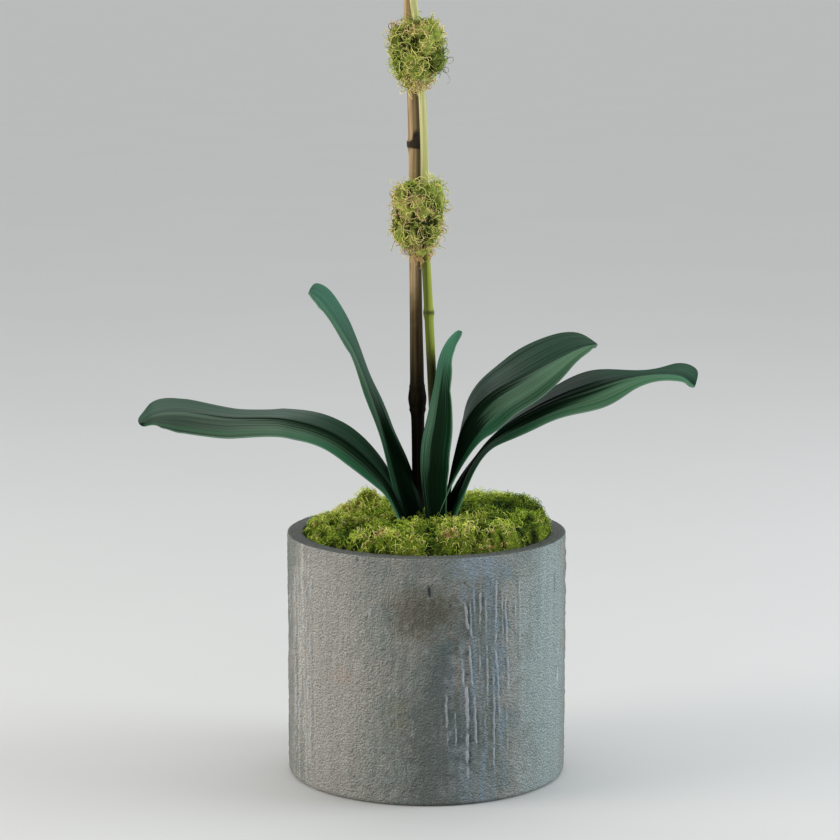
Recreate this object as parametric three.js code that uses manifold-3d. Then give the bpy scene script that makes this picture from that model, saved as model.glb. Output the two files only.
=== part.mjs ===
// A moth orchid with five strap leaves and one arching flower spike, in a cylindrical cast pot.
// Millimetres. The origin is the centre of the pot's foot, +X is right, +Y is back and +Z is up.

import * as THREE from "three";
import { mergeVertices } from "three/addons/utils/BufferGeometryUtils.js";
import Module from "manifold-3d";

const wasm = await Module();
wasm.setup();

// Driving dimensions. GAP is the clearance between pieces that rest on each other.
const GAP = 0.35;

const POT = { radius: 89, height: 156, wall: 10, floor: 14, footBevel: 3, rimBevel: 1, sides: 60 };
const MEDIUM = { top: 136, sides: 32 };
const MOSS = {
  edge: 154, rightEdge: 158, leftRise: 6, rightRise: 11, leftX: -70, rightX: 60, steepness: 24,
  sides: 32, rings: 6,
};
const MOSS_LUMPS = [
  { x: -39, y: 45, spread: 9, rise: 11 },
  { x: 54, y: 34, spread: 18, rise: 3 },
  { x: -20, y: -46, spread: 18, rise: 3 },
  { x: 30, y: -50, spread: 14, rise: 2 },
];

const CROWN = { x: -1, y: -3, radiusX: 15, radiusY: 13, bottom: 128, top: 160, sides: 20 };
const ROOTS = {
  count: 6, radius: 2.6, spread: 46, depth: 74, firstTurn: 130, lastTurn: 430, sides: 5, steps: 5,
};

// gather draws the stations of a leaf or petal together towards its tip.
const LEAF = {
  thickness: 1.7, edge: 0.8, bow: 0.1, stations: 15, columns: 6, gather: 1.35, tipHalfWidth: 1.1,
};
const LEAVES = [
  {
    name: "leaf_centre",
    midrib: [
      [3, -11, 160.4], [-1, -14, 192], [-1, -21, 213], [3, -22, 233],
      [7, -19, 251], [10, -19, 268], [15, -20, 279], [22, -20, 286],
    ],
    across: 120, halfWidth: 26, base: 0.45, widest: 0.52, tip: 2.2,
    roll: [9, 9, 19, 29, 26, 21], fold: [45, 33, 19, 13, 5],
  },
  {
    name: "leaf_left_long",
    midrib: [
      [-13, -12, 160.4], [-26, -7, 190], [-54, -18, 219], [-86, -32, 233],
      [-122, -36, 235], [-151, -39, 239], [-168, -43, 238], [-178, -45, 232],
    ],
    across: 75, halfWidth: 25.5, base: 0.45, widest: 0.6, tip: 1.7,
    roll: [-8, 10, 9, 12, 21, 31], fold: [0, -4, -9, -7, 1],
  },
  {
    name: "leaf_right_broad",
    midrib: [
      [9, -2, 160.4], [17, -9, 204], [25, -7, 228], [39, -3, 243],
      [62, 4, 255], [83, 12, 265], [98, 17, 271], [109, 19, 273],
    ],
    across: -82, halfWidth: 26, base: 0.45, widest: 0.45, tip: 2.1,
    roll: [26, -7, -23, -26, -19, -7], fold: [8, -22, -8, 13, 13],
  },
  {
    name: "leaf_right_long",
    midrib: [
      [13, -6, 160.4], [28, -6, 199], [45, -2, 220], [72, -1, 236],
      [100, 0, 247], [128, 1, 255], [157, 0, 256], [170, -1, 249],
    ],
    across: -87, halfWidth: 26, base: 0.45, widest: 0.64, tip: 3,
    roll: [-17, 2, -10, -18, -1, -28], fold: [10, -12, -5, -4, 21],
  },
  {
    name: "leaf_left_upright",
    midrib: [
      [-9, 2, 160.4], [-20, 10, 198], [-29, 17, 223], [-38, 25, 246],
      [-47, 31, 267], [-57, 30, 284], [-67, 31, 299], [-75, 29, 306],
    ],
    across: 60, halfWidth: 24.5, base: 0.45, widest: 0.6, tip: 2.5,
    roll: [13, -11, -21, -22, -14, -6], fold: [12, 5, 2, 8, 6],
  },
];

const CANE = {
  path: [
    [-5, 18, 40], [-5.4, 18, 200], [-6, 17, 250], [-7, 16, 314],
    [-7.8, 15, 400], [-10.4, 14, 478], [-14, 13, 580],
  ],
  radius: 4.3, taper: 0.7, sides: 10, steps: 46,
  rings: [
    { z: 238, swell: 1.5, reach: 7 },
    { z: 252, swell: 0.45, reach: 28 },
    { z: 400, swell: 0.9, reach: 3 },
    { z: 520, swell: 0.8, reach: 3 },
  ],
};

const SPIKE = {
  path: [
    [6, 7, 160.4], [5.5, 8, 205], [3.5, 7.5, 250], [1, 6.5, 302], [-1.4, 5.5, 350],
    [-1.5, 5, 400], [-4.2, 4, 455], [-8.3, 3, 490], [-13, 2, 525], [-19, 0, 560],
    [-28, -2, 597], [-42, -5, 634], [-64, -10, 666], [-93, -15, 689], [-127, -21, 699],
    [-162, -27, 693], [-192, -32, 672], [-214, -37, 642], [-228, -41, 608], [-236, -45, 574],
  ],
  radius: 3, tipRadius: 1.5, sides: 7, steps: 52,
  rings: [0.173, 0.365, 0.481], swell: 0.7, reach: 0.006,
};
const PEDICEL = { radius: 1.5, sides: 5, steps: 4 };

const TIES = [
  { z: 354, x: -5.5, halfWidth: 17, halfHeight: 25 },
  { z: 456.5, x: -6.8, halfWidth: 16.5, halfHeight: 22 },
  { z: 556, x: -14.5, halfWidth: 16, halfHeight: 22 },
];
const TIE = { y: 9, sides: 14, rings: 8, lump: 1.6, shoulder: 0.16, foot: 0.18 };

// first and step are shares of the flower stem's length. forward and aside take turns from bloom to bloom.
const BLOOM = {
  count: 7, first: 0.622, step: 0.0435, forward: [22, 44], aside: [27, 19], nod: -0.12, nodStep: -0.02,
  radius: 43, shrink: 0.042, centre: 0.11,
};
const PETAL = { thickness: 0.9, arch: 0.14, stations: 5, gather: 1.5 };
const SEPAL = {
  columns: 2, length: 1, halfWidth: 0.34, base: 0.3, widest: 0.5, tip: 2,
  lift: -0.05, cup: -0.04, wave: 0,
};
const SIDE_SEPAL = {
  columns: 2, length: 0.98, halfWidth: 0.33, base: 0.3, widest: 0.45, tip: 1.8,
  lift: -0.06, cup: -0.04, wave: 0,
};
const BROAD_PETAL = {
  columns: 4, length: 1.06, halfWidth: 0.6, base: 0.16, widest: 0.55, tip: 2.3,
  lift: 0.07, cup: -0.08, wave: 0.03,
};
const BLOOM_PARTS = [
  { ...SEPAL, angle: 90 },
  { ...SIDE_SEPAL, angle: 218 },
  { ...SIDE_SEPAL, angle: 322 },
  { ...BROAD_PETAL, angle: 172 },
  { ...BROAD_PETAL, angle: 8 },
];
const BUD = {
  count: 4, first: 0.925, step: 0.0235, radius: 6.4, shrink: 0.82, nod: -0.5, halfLength: 1.05,
  sides: 8, rings: 6,
};

const COLOURS = {
  pot: 0x6f716c, medium: 0x4a3526, moss: 0x7d8f2e, crown: 0x4f5b36, leaf: 0x1f4a37, cane: 0x5a4630,
  spike: 0x7b8b45, tie: 0x8a8a3f, bloom: 0xf3f0ea, lip: 0xe6cf6a, bud: 0xc9cf9a,
};

// Turns a closed geometry into a solid that can be cut and joined.
function toSolid(geometry) {
  const bare = new THREE.BufferGeometry();
  bare.setAttribute("position", geometry.getAttribute("position"));
  bare.setIndex(geometry.getIndex());
  const merged = mergeVertices(bare, 1e-4);
  const vertProperties = new Float32Array(merged.getAttribute("position").array);
  const triVerts = new Uint32Array(merged.getIndex().array);
  const faces = [];
  for (let i = 0; i < triVerts.length; i += 3) {
    const [a, b, c] = triVerts.slice(i, i + 3);
    if (a !== b && b !== c && c !== a) faces.push(a, b, c);
  }
  return new wasm.Manifold(new wasm.Mesh({ numProp: 3, vertProperties, triVerts: new Uint32Array(faces) }));
}

function toGeometry(solid) {
  const mesh = solid.getMesh();
  const geometry = new THREE.BufferGeometry();
  geometry.setAttribute("position", new THREE.BufferAttribute(new Float32Array(mesh.vertProperties), 3));
  geometry.setIndex(new THREE.BufferAttribute(new Uint32Array(mesh.triVerts), 1));
  geometry.computeVertexNormals();
  return geometry;
}

// A cut can leave scraps behind; the piece is the largest body of what is left.
function largestBody(solid) {
  return solid.decompose().reduce((best, body) => (body.volume() > best.volume() ? body : best));
}

function cutClear(solid, neighbours) {
  return largestBody(neighbours.reduce((rest, other) => rest.subtract(other), solid));
}

function join(solids) {
  return solids.reduce((whole, other) => whole.add(other));
}

function smoothCurve(points) {
  return new THREE.CatmullRomCurve3(points.map((p) => new THREE.Vector3(...p)), false, "catmullrom");
}

// Reads a short list of values as a smooth function of t from 0 to 1.
function blend(list, t) {
  return smoothCurve(list.map((value) => [value, 0, 0])).getPoint(t).x;
}

const radians = THREE.MathUtils.degToRad;

// Half width of a strap leaf or petal at t: it widens from its base and rounds off to the tip.
function halfWidthAt(shape, t) {
  if (t < shape.widest) {
    const rise = Math.sin((Math.PI / 2) * (t / shape.widest)) ** 1.3;
    return shape.halfWidth * (shape.base + (1 - shape.base) * rise);
  }
  const fall = ((t - shape.widest) / (1 - shape.widest)) ** shape.tip;
  return shape.halfWidth * Math.sqrt(Math.max(0, 1 - fall));
}

// Closes a grid of upper-face points and normals into a blade, split alike on both faces.
function bladeGeometry(rows, depthAt) {
  const last = rows.length - 1;
  const side = rows[0].length - 1;
  const width = side + 1;
  const positions = [];
  for (const row of rows) for (const { point } of row) positions.push(...point.toArray());
  for (const row of rows) {
    row.forEach(({ point, normal }, j) => {
      positions.push(...point.clone().addScaledVector(normal, -depthAt(j / side)).toArray());
    });
  }
  const under = positions.length / 6;
  const top = (i, j) => i * width + j;
  const low = (i, j) => under + i * width + j;
  const faces = [];
  const quad = (a, b, c, d) => faces.push(a, b, c, a, c, d);
  for (let i = 0; i < last; i += 1) {
    for (let j = 0; j < side; j += 1) {
      quad(top(i, j), top(i, j + 1), top(i + 1, j + 1), top(i + 1, j));
      faces.push(low(i, j), low(i + 1, j + 1), low(i, j + 1), low(i, j), low(i + 1, j), low(i + 1, j + 1));
    }
    quad(top(i, 0), top(i + 1, 0), low(i + 1, 0), low(i, 0));
    quad(top(i, side), low(i, side), low(i + 1, side), top(i + 1, side));
  }
  for (let j = 0; j < side; j += 1) {
    quad(top(0, j), low(0, j), low(0, j + 1), top(0, j + 1));
    quad(top(last, j), top(last, j + 1), low(last, j + 1), low(last, j));
  }
  const geometry = new THREE.BufferGeometry();
  geometry.setAttribute("position", new THREE.Float32BufferAttribute(positions, 3));
  geometry.setIndex(faces);
  return geometry;
}

// The three directions of a leaf at t: along it, across it, and out of its upper face.
function leafAxes(leaf, curve, t) {
  const along = curve.getTangent(t);
  const heading = radians(leaf.across);
  const flat = new THREE.Vector3(Math.cos(heading), Math.sin(heading), 0);
  flat.addScaledVector(along, -flat.dot(along)).normalize();
  const flatNormal = flat.clone().cross(along);
  const roll = radians(blend(leaf.roll, t));
  const across = flat.clone().multiplyScalar(Math.cos(roll)).addScaledVector(flatNormal, Math.sin(roll));
  return { across, normal: across.clone().cross(along) };
}

// A strap leaf: a midrib curve, rolled about itself, with both halves folded up or down from it.
function leafGeometry(leaf, grow = 0) {
  const curve = smoothCurve(leaf.midrib);
  const rows = [];
  for (let i = 0; i <= LEAF.stations; i += 1) {
    const t = 1 - (1 - i / LEAF.stations) ** LEAF.gather;
    const { across, normal } = leafAxes(leaf, curve, t);
    const fold = radians(blend(leaf.fold, t));
    const half = Math.max(LEAF.tipHalfWidth, halfWidthAt(leaf, t)) + grow;
    const centre = curve.getPoint(t).addScaledVector(normal, grow);
    const row = [];
    for (let j = 0; j <= LEAF.columns; j += 1) {
      const a = (2 * j) / LEAF.columns - 1;
      const reach = Math.abs(a);
      const height = half * (Math.sin(fold) * reach + LEAF.bow * reach * (1 - reach));
      const point = centre.clone().addScaledVector(across, half * Math.cos(fold) * a);
      point.addScaledVector(normal, height);
      row.push({ point, normal });
    }
    rows.push(row);
  }
  const depthAt = (s) => LEAF.edge + (LEAF.thickness - LEAF.edge) * (1 - (2 * s - 1) ** 2) + 2 * grow;
  return bladeGeometry(rows, depthAt);
}

// A closed rod along a curve, with a radius that may change from end to end.
function rodGeometry(curve, radiusAt, steps, sides) {
  const frames = curve.computeFrenetFrames(steps, false);
  const positions = [];
  const faces = [];
  for (let i = 0; i <= steps; i += 1) {
    const centre = curve.getPointAt(i / steps);
    for (let k = 0; k < sides; k += 1) {
      const angle = (2 * Math.PI * k) / sides;
      const spoke = frames.normals[i].clone().multiplyScalar(Math.cos(angle));
      spoke.addScaledVector(frames.binormals[i], Math.sin(angle));
      positions.push(...centre.clone().addScaledVector(spoke, radiusAt(i / steps, centre)).toArray());
    }
  }
  for (let i = 0; i < steps; i += 1) {
    for (let k = 0; k < sides; k += 1) {
      const a = i * sides + k;
      const b = i * sides + ((k + 1) % sides);
      faces.push(a, b, b + sides, a, b + sides, a + sides);
    }
  }
  const foot = positions.length / 3;
  positions.push(...curve.getPointAt(0).toArray(), ...curve.getPointAt(1).toArray());
  for (let k = 0; k < sides; k += 1) {
    const next = (k + 1) % sides;
    faces.push(foot, next, k, foot + 1, steps * sides + k, steps * sides + next);
  }
  const geometry = new THREE.BufferGeometry();
  geometry.setAttribute("position", new THREE.Float32BufferAttribute(positions, 3));
  geometry.setIndex(faces);
  return geometry;
}

// A turned body stood upright: the profile is a list of [radius, height].
function turnedGeometry(profile, sides) {
  const points = profile.map(([radius, height]) => new THREE.Vector2(radius, height));
  return new THREE.LatheGeometry(points, sides).rotateX(Math.PI / 2);
}

function potGeometry() {
  const { radius, height, wall, floor, footBevel, rimBevel, sides } = POT;
  const inner = radius - wall;
  return turnedGeometry([
    [0, 0], [radius - footBevel, 0], [radius - footBevel * 0.3, footBevel * 0.3], [radius, footBevel],
    [radius, height - rimBevel], [radius - rimBevel, height],
    [inner + rimBevel, height], [inner, height - rimBevel], [inner, floor], [0, floor],
  ], sides);
}

function mediumSolid(neighbours) {
  const radius = POT.radius - POT.wall - GAP;
  const foot = POT.floor + GAP;
  const profile = [[0, foot], [radius, foot], [radius, MEDIUM.top], [0, MEDIUM.top]];
  return cutClear(toSolid(turnedGeometry(profile, MEDIUM.sides)), neighbours);
}

// Height of the moss over the pot: a pillow, higher on the right, with a few large lumps and small ones.
function mossTop(x, y) {
  const radius = POT.radius - POT.wall - GAP;
  const r = Math.min(1, Math.hypot(x, y) / radius);
  const rightness = THREE.MathUtils.smoothstep(x, MOSS.leftX, MOSS.rightX);
  const rise = THREE.MathUtils.lerp(MOSS.leftRise, MOSS.rightRise, rightness);
  let z = THREE.MathUtils.lerp(MOSS.edge, MOSS.rightEdge, rightness) + rise * (1 - r ** MOSS.steepness);
  for (const lump of MOSS_LUMPS) {
    const distance = Math.hypot(x - lump.x, y - lump.y);
    z += lump.rise * Math.exp(-(distance ** 2) / (2 * lump.spread ** 2));
  }
  const ripple = Math.sin(x * 0.31 + 1) * Math.cos(y * 0.27) + 0.8 * Math.sin(x * 0.17 - y * 0.39);
  return z + (1 - r ** 8) * ripple;
}

function mossSolid(neighbours) {
  const radius = POT.radius - POT.wall - GAP;
  const profile = [[0, MEDIUM.top + GAP], [radius, MEDIUM.top + GAP]];
  for (let i = MOSS.rings; i >= 0; i -= 1) {
    profile.push([i === 0 ? 0 : radius * Math.sin((Math.PI * i) / (2 * MOSS.rings)), MOSS.edge]);
  }
  const geometry = turnedGeometry(profile, MOSS.sides);
  const position = geometry.getAttribute("position");
  for (let i = 0; i < position.count; i += 1) {
    if (position.getZ(i) > MOSS.edge - 1) {
      position.setZ(i, mossTop(position.getX(i), position.getY(i)));
    }
  }
  return cutClear(toSolid(geometry), neighbours);
}

// The short stem under the leaves, with thick roots that spread down through the potting medium.
function crownSolid(grow = 0) {
  const { x, y, radiusX, radiusY, bottom, top, sides } = CROWN;
  const wider = grow / radiusY;
  const stub = turnedGeometry([
    [0, bottom - grow], [0.6 + wider, bottom - grow], [1 + wider, bottom + 14],
    [0.96 + wider, top - 6], [0.8 + wider, top + grow], [0, top + grow],
  ], sides);
  stub.scale(radiusX, radiusY, 1).translate(x, y, 0);
  const roots = [];
  for (let k = 0; k < ROOTS.count; k += 1) {
    const turn = radians(THREE.MathUtils.lerp(ROOTS.firstTurn, ROOTS.lastTurn, k / (ROOTS.count - 1)));
    const out = new THREE.Vector3(Math.cos(turn), Math.sin(turn), 0);
    const at = (share, z) => [x + out.x * ROOTS.spread * share, y + out.y * ROOTS.spread * share, z];
    const deep = bottom - ROOTS.depth * (0.75 + 0.25 * Math.cos(3 * k));
    const curve = smoothCurve([at(0.12, 140), at(0.5, 128), at(0.85, 112), at(1, 92), at(0.92, deep)]);
    const radiusAt = (u) => ROOTS.radius * (1 - 0.35 * u) + grow;
    roots.push(toSolid(rodGeometry(curve, radiusAt, ROOTS.steps, ROOTS.sides)));
  }
  return join([toSolid(stub), ...roots]);
}

function caneSolid(grow = 0) {
  const curve = smoothCurve(CANE.path);
  const radiusAt = (u, centre) => {
    let radius = CANE.radius - CANE.taper * u + grow;
    for (const { z, swell, reach } of CANE.rings) radius += swell * Math.exp(-(((centre.z - z) / reach) ** 2));
    return radius;
  };
  return toSolid(rodGeometry(curve, radiusAt, CANE.steps, CANE.sides));
}

const spikeCurve = smoothCurve(SPIKE.path);

// Stands for where a bloom or bud hangs: its stalk's start and end, and the way that it faces.
function hangAt(u, side, forward, aside, nod) {
  const start = spikeCurve.getPointAt(u);
  const along = spikeCurve.getTangentAt(u);
  const facing = new THREE.Vector3(-0.16 + 0.1 * side, -1, nod).normalize();
  const out = along.clone().cross(facing).normalize().multiplyScalar(side);
  const end = start.clone().addScaledVector(facing, forward).addScaledVector(out, aside);
  return { start, end, facing };
}

function bloomPlaces() {
  const places = [];
  for (let k = 0; k < BLOOM.count; k += 1) {
    const side = k % 2 === 0 ? 1 : -1;
    const nod = BLOOM.nod + BLOOM.nodStep * k;
    const place = hangAt(BLOOM.first + k * BLOOM.step, side, BLOOM.forward[k % 2], BLOOM.aside[k % 2], nod);
    places.push({ ...place, radius: BLOOM.radius * (1 - BLOOM.shrink * k) });
  }
  return places;
}

function budPlaces() {
  const places = [];
  for (let k = 0; k < BUD.count; k += 1) {
    const side = k % 2 === 0 ? -1 : 1;
    const size = BUD.radius * BUD.shrink ** k;
    places.push({ ...hangAt(BUD.first + k * BUD.step, side, 8 - k, 15 - 2 * k, BUD.nod), size });
  }
  return places;
}

function stalkSolid({ start, end, facing }, setBack) {
  const seat = end.clone().addScaledVector(facing, -setBack);
  const elbow = start.clone().lerp(seat, 0.55).addScaledVector(facing, -3);
  const curve = smoothCurve([start.toArray(), elbow.toArray(), seat.toArray()]);
  return toSolid(rodGeometry(curve, () => PEDICEL.radius, PEDICEL.steps, PEDICEL.sides));
}

// The flower stem with the raised rings of its nodes, and the stalks of blooms and buds grown from it.
function spikeSolid(grow = 0) {
  const radiusAt = (u) => {
    let radius = THREE.MathUtils.lerp(SPIKE.radius, SPIKE.tipRadius, u ** 1.6) + grow;
    for (const ring of SPIKE.rings) radius += SPIKE.swell * Math.exp(-(((u - ring) / SPIKE.reach) ** 2));
    return radius;
  };
  const stem = toSolid(rodGeometry(spikeCurve, radiusAt, SPIKE.steps, SPIKE.sides));
  if (grow > 0) return stem;
  const bloomSetBack = (place) => place.radius * (BLOOM.centre + 0.01) + GAP;
  const budSetBack = (place) => place.size * BUD.halfLength + 3 * GAP;
  const bloomStalks = bloomPlaces().map((place) => stalkSolid(place, bloomSetBack(place)));
  const budStalks = budPlaces().map((place) => stalkSolid(place, budSetBack(place)));
  return join([stem, ...bloomStalks, ...budStalks]);
}

// A moss bundle wound round cane and spike: widest in its upper half and drawn in at its foot.
function tieSolid(tie, index, neighbours) {
  const geometry = new THREE.SphereGeometry(1, TIE.sides, TIE.rings).rotateX(Math.PI / 2);
  const position = geometry.getAttribute("position");
  for (let i = 0; i < position.count; i += 1) {
    const x = position.getX(i);
    const y = position.getY(i);
    const z = position.getZ(i);
    const girth = 1 + TIE.shoulder * z - TIE.foot * Math.max(0, -z) ** 2;
    const ripple = Math.sin(5 * x + 3 * z + index) * Math.cos(4 * y - 5 * z + 2 * index);
    const lump = 1 + (TIE.lump / tie.halfWidth) * ripple;
    position.setXYZ(i, tie.x + x * tie.halfWidth * girth * lump, TIE.y + y * tie.halfWidth * girth * lump,
      tie.z + z * tie.halfHeight * lump);
  }
  return cutClear(toSolid(geometry), neighbours);
}

// A sepal or petal in the bloom's own plane, with +Z towards the viewer. Lengths are shares of its radius.
function petalGeometry(part, radius) {
  const shape = { ...part, halfWidth: part.halfWidth * radius };
  const turn = radians(part.angle);
  const out = new THREE.Vector3(Math.cos(turn), Math.sin(turn), 0);
  const front = new THREE.Vector3(0, 0, 1);
  const across = out.clone().cross(front);
  const rows = [];
  for (let i = 0; i <= PETAL.stations; i += 1) {
    const t = 1 - (1 - i / PETAL.stations) ** PETAL.gather;
    const half = Math.max(1, halfWidthAt(shape, t));
    const row = [];
    for (let j = 0; j <= part.columns; j += 1) {
      const a = (2 * j) / part.columns - 1;
      const ripple = part.wave * Math.sin(7 * a + 4 * t) * t * a * a;
      const bend = part.cup * (a * a * (half / radius) + t * t) + PETAL.arch * t * (1 - t);
      const rise = radius * (part.lift + bend + ripple);
      const point = out.clone().multiplyScalar(radius * part.length * (0.04 + 0.96 * t));
      point.addScaledVector(across, half * a).addScaledVector(front, rise);
      row.push({ point, normal: front });
    }
    rows.push(row);
  }
  return bladeGeometry(rows, () => PETAL.thickness);
}

// Moves a bloom, lip or bud from its own plane to the end of its stalk, upright and facing outwards.
function placeOnSpike(geometry, place) {
  const front = place.facing;
  const side = new THREE.Vector3(0, 0, 1).cross(front).normalize();
  const up = front.clone().cross(side);
  const matrix = new THREE.Matrix4().makeBasis(side, up, front).setPosition(place.end);
  return geometry.applyMatrix4(matrix);
}

// Three sepals behind, two broad petals in front, grown together on a small round centre.
function bloomSolid(place) {
  const centre = new THREE.SphereGeometry(place.radius * BLOOM.centre, 7, 4);
  const leaves = BLOOM_PARTS.map((part) => toSolid(petalGeometry(part, place.radius)));
  return join([toSolid(centre), ...leaves]);
}

// The lip and column: two wings that curve up beside the column, and a pointed middle lobe.
function lipSolid(place) {
  const r = place.radius;
  const front = r * BLOOM.centre + GAP;
  const column = smoothCurve([
    [0, 0.04 * r, front], [0, 0.05 * r, front + 0.1 * r], [0, -0.01 * r, front + 0.2 * r],
  ]);
  const pieces = [toSolid(rodGeometry(column, (u) => r * (0.065 - 0.012 * u), 3, 6))];
  const lobe = smoothCurve([
    [0, 0.01 * r, front + 0.04 * r], [0, -0.14 * r, front + 0.14 * r], [0, -0.3 * r, front + 0.17 * r],
    [0, -0.44 * r, front + 0.12 * r],
  ]);
  pieces.push(toSolid(rodGeometry(lobe, (u) => r * (0.045 + 0.075 * Math.sin(Math.PI * u ** 0.8)), 4, 6)));
  for (const side of [-1, 1]) {
    const wing = smoothCurve([
      [0, -0.06 * r, front + 0.1 * r], [side * 0.13 * r, -0.1 * r, front + 0.13 * r],
      [side * 0.22 * r, 0, front + 0.22 * r], [side * 0.2 * r, 0.12 * r, front + 0.3 * r],
    ]);
    pieces.push(toSolid(rodGeometry(wing, (u) => r * (0.04 + 0.045 * Math.sin(Math.PI * u ** 1.3)), 3, 5)));
  }
  return join(pieces);
}

// A closed bud, a little fuller towards its stalk.
function budGeometry({ size }) {
  const profile = [];
  for (let i = 0; i <= BUD.rings; i += 1) {
    const turn = (Math.PI * i) / BUD.rings;
    const radius = size * Math.sin(turn) * (1 + 0.14 * Math.cos(turn));
    profile.push([i === 0 || i === BUD.rings ? 0 : radius, -Math.cos(turn) * size * BUD.halfLength]);
  }
  return turnedGeometry(profile, BUD.sides);
}

const plant = new THREE.Group();

function addPiece(name, shape, colour, roughness = 0.7) {
  const geometry = shape.isBufferGeometry ? shape : toGeometry(shape);
  const material = new THREE.MeshStandardMaterial({ color: colour, roughness, metalness: 0 });
  const mesh = new THREE.Mesh(geometry, material);
  mesh.name = name;
  plant.add(mesh);
}

const crownClear = crownSolid(GAP);
const caneClear = caneSolid(GAP);
const spikeClear = spikeSolid(GAP);
const leafClears = [];

addPiece("pot", potGeometry(), COLOURS.pot, 0.9);
addPiece("crown", crownSolid(), COLOURS.crown);
addPiece("cane", caneSolid(), COLOURS.cane, 0.55);
addPiece("spike", spikeSolid(), COLOURS.spike, 0.5);

for (const leaf of LEAVES) {
  const blade = cutClear(toSolid(leafGeometry(leaf)), [...leafClears, crownClear, caneClear, spikeClear]);
  leafClears.push(toSolid(leafGeometry(leaf, GAP)));
  addPiece(leaf.name, blade, COLOURS.leaf, 0.45);
}

addPiece("potting_medium", mediumSolid([crownClear, caneClear]), COLOURS.medium, 0.95);
addPiece("moss", mossSolid([crownClear, caneClear, spikeClear, ...leafClears]), COLOURS.moss, 0.95);

TIES.forEach((tie, index) => {
  addPiece(`moss_tie_${index + 1}`, tieSolid(tie, index, [caneClear, spikeClear]), COLOURS.tie, 0.95);
});

bloomPlaces().forEach((place, index) => {
  addPiece(`bloom_${index + 1}`, placeOnSpike(toGeometry(bloomSolid(place)), place), COLOURS.bloom, 0.5);
  addPiece(`lip_${index + 1}`, placeOnSpike(toGeometry(lipSolid(place)), place), COLOURS.lip, 0.5);
});

budPlaces().forEach((place, index) => {
  addPiece(`bud_${index + 1}`, placeOnSpike(budGeometry(place), place), COLOURS.bud, 0.5);
});

export default plant;
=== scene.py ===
# %% [markdown]
# # Dressing a potted moth orchid
#
# The plant already exists as plain solids of the right size. This lesson gives each of them the surface
# that the real one has: rough cast stone, curly moss, satin leaves, a brown cane, a green stem and white
# blooms. Lengths are in metres. The pot's foot stands at height 0, +X is right and +Y is away from the
# viewer.

# %% Load the solids
import math

import bpy
import numpy as np
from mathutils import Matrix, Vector


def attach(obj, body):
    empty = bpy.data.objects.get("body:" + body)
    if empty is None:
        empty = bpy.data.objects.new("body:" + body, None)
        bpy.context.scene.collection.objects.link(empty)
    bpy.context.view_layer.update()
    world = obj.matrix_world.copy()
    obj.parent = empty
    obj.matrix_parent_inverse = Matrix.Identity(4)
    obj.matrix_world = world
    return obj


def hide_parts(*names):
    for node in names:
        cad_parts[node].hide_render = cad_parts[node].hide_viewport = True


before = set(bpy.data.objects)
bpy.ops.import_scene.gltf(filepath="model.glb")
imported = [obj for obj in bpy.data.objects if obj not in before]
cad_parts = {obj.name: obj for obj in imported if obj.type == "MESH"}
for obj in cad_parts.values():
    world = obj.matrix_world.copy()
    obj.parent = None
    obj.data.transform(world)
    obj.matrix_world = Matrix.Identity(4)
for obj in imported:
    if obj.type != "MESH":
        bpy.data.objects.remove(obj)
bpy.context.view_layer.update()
scene = bpy.context.scene

# %% [markdown]
# ## The view
#
# The picture is taken from almost two metres away with a long lens, a little above the pot's rim and
# looking slightly down. A long lens keeps the pot's sides nearly parallel. The numbers come from fitting
# the pot's rim, its foot and the leaf tips, so the camera isn't placed by eye.

# %% Camera
MM = 0.001

eye = bpy.data.cameras.new("camera")
eye.lens = 118
eye.sensor_width = 36
eye.clip_end = 300
camera = bpy.data.objects.new("camera", eye)
camera.location = (-4.2 * MM, -1725 * MM, 506 * MM)
camera.rotation_euler = (math.radians(80.81), 0, 0)
scene.collection.objects.link(camera)
scene.camera = camera
scene.view_settings.view_transform = "Standard"
print("camera at", list(camera.location))

# %% [markdown]
# ## Light and floor
#
# The plant stands between two bright sides: daylight that is a little warm on the left, and a little cool
# on the right. Large soft lights on both sides give the round pot its light flanks and its darker middle. A
# hazy sky light from above brightens the moss, the upper sides of the leaves and the whole floor, and a dim
# surrounding glow fills the shadows. The floor is a wide pale disc, so that its edge never shows.

# %% Lights
AIM = Vector((0, 0, 0.25))
LAMP_SIZE = 1.3
LAMP_POWER = 25


def add_soft_light(name, place, colour):
    lamp = bpy.data.lights.new(name, "AREA")
    lamp.shape = "DISK"
    lamp.size = LAMP_SIZE
    lamp.energy = LAMP_POWER
    lamp.color = colour
    stand = bpy.data.objects.new(name, lamp)
    stand.location = place
    stand.rotation_euler = (AIM - Vector(place)).to_track_quat("-Z", "Y").to_euler()
    scene.collection.objects.link(stand)


add_soft_light("daylight left", (-1.8, -0.45, 0.8), (1.0, 0.95, 0.88))
add_soft_light("daylight right", (1.8, -0.05, 0.8), (0.88, 0.96, 1.0))

haze = bpy.data.lights.new("haze above", "SUN")
haze.energy = 1.3
haze.angle = math.radians(70)
haze_stand = bpy.data.objects.new("haze above", haze)
haze_stand.rotation_euler = (math.radians(-22), 0, 0)
scene.collection.objects.link(haze_stand)

surroundings = bpy.data.worlds.new("surroundings")
surroundings.use_nodes = True
glow = surroundings.node_tree.nodes["Background"]
glow.inputs["Color"].default_value = (0.93, 0.97, 1.0, 1)
glow.inputs["Strength"].default_value = 0.42
scene.world = surroundings
print("two soft lights, a haze above and a glow of", glow.inputs["Strength"].default_value)

# %% [markdown]
# ## Materials as sums
#
# A material is a network of small nodes. Written out node by node it is long and hard to read, so one class
# wraps a node's output, and sums on it add the nodes that work them out. Colours go through mixing nodes,
# because a plain Math node would turn them grey.

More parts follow.
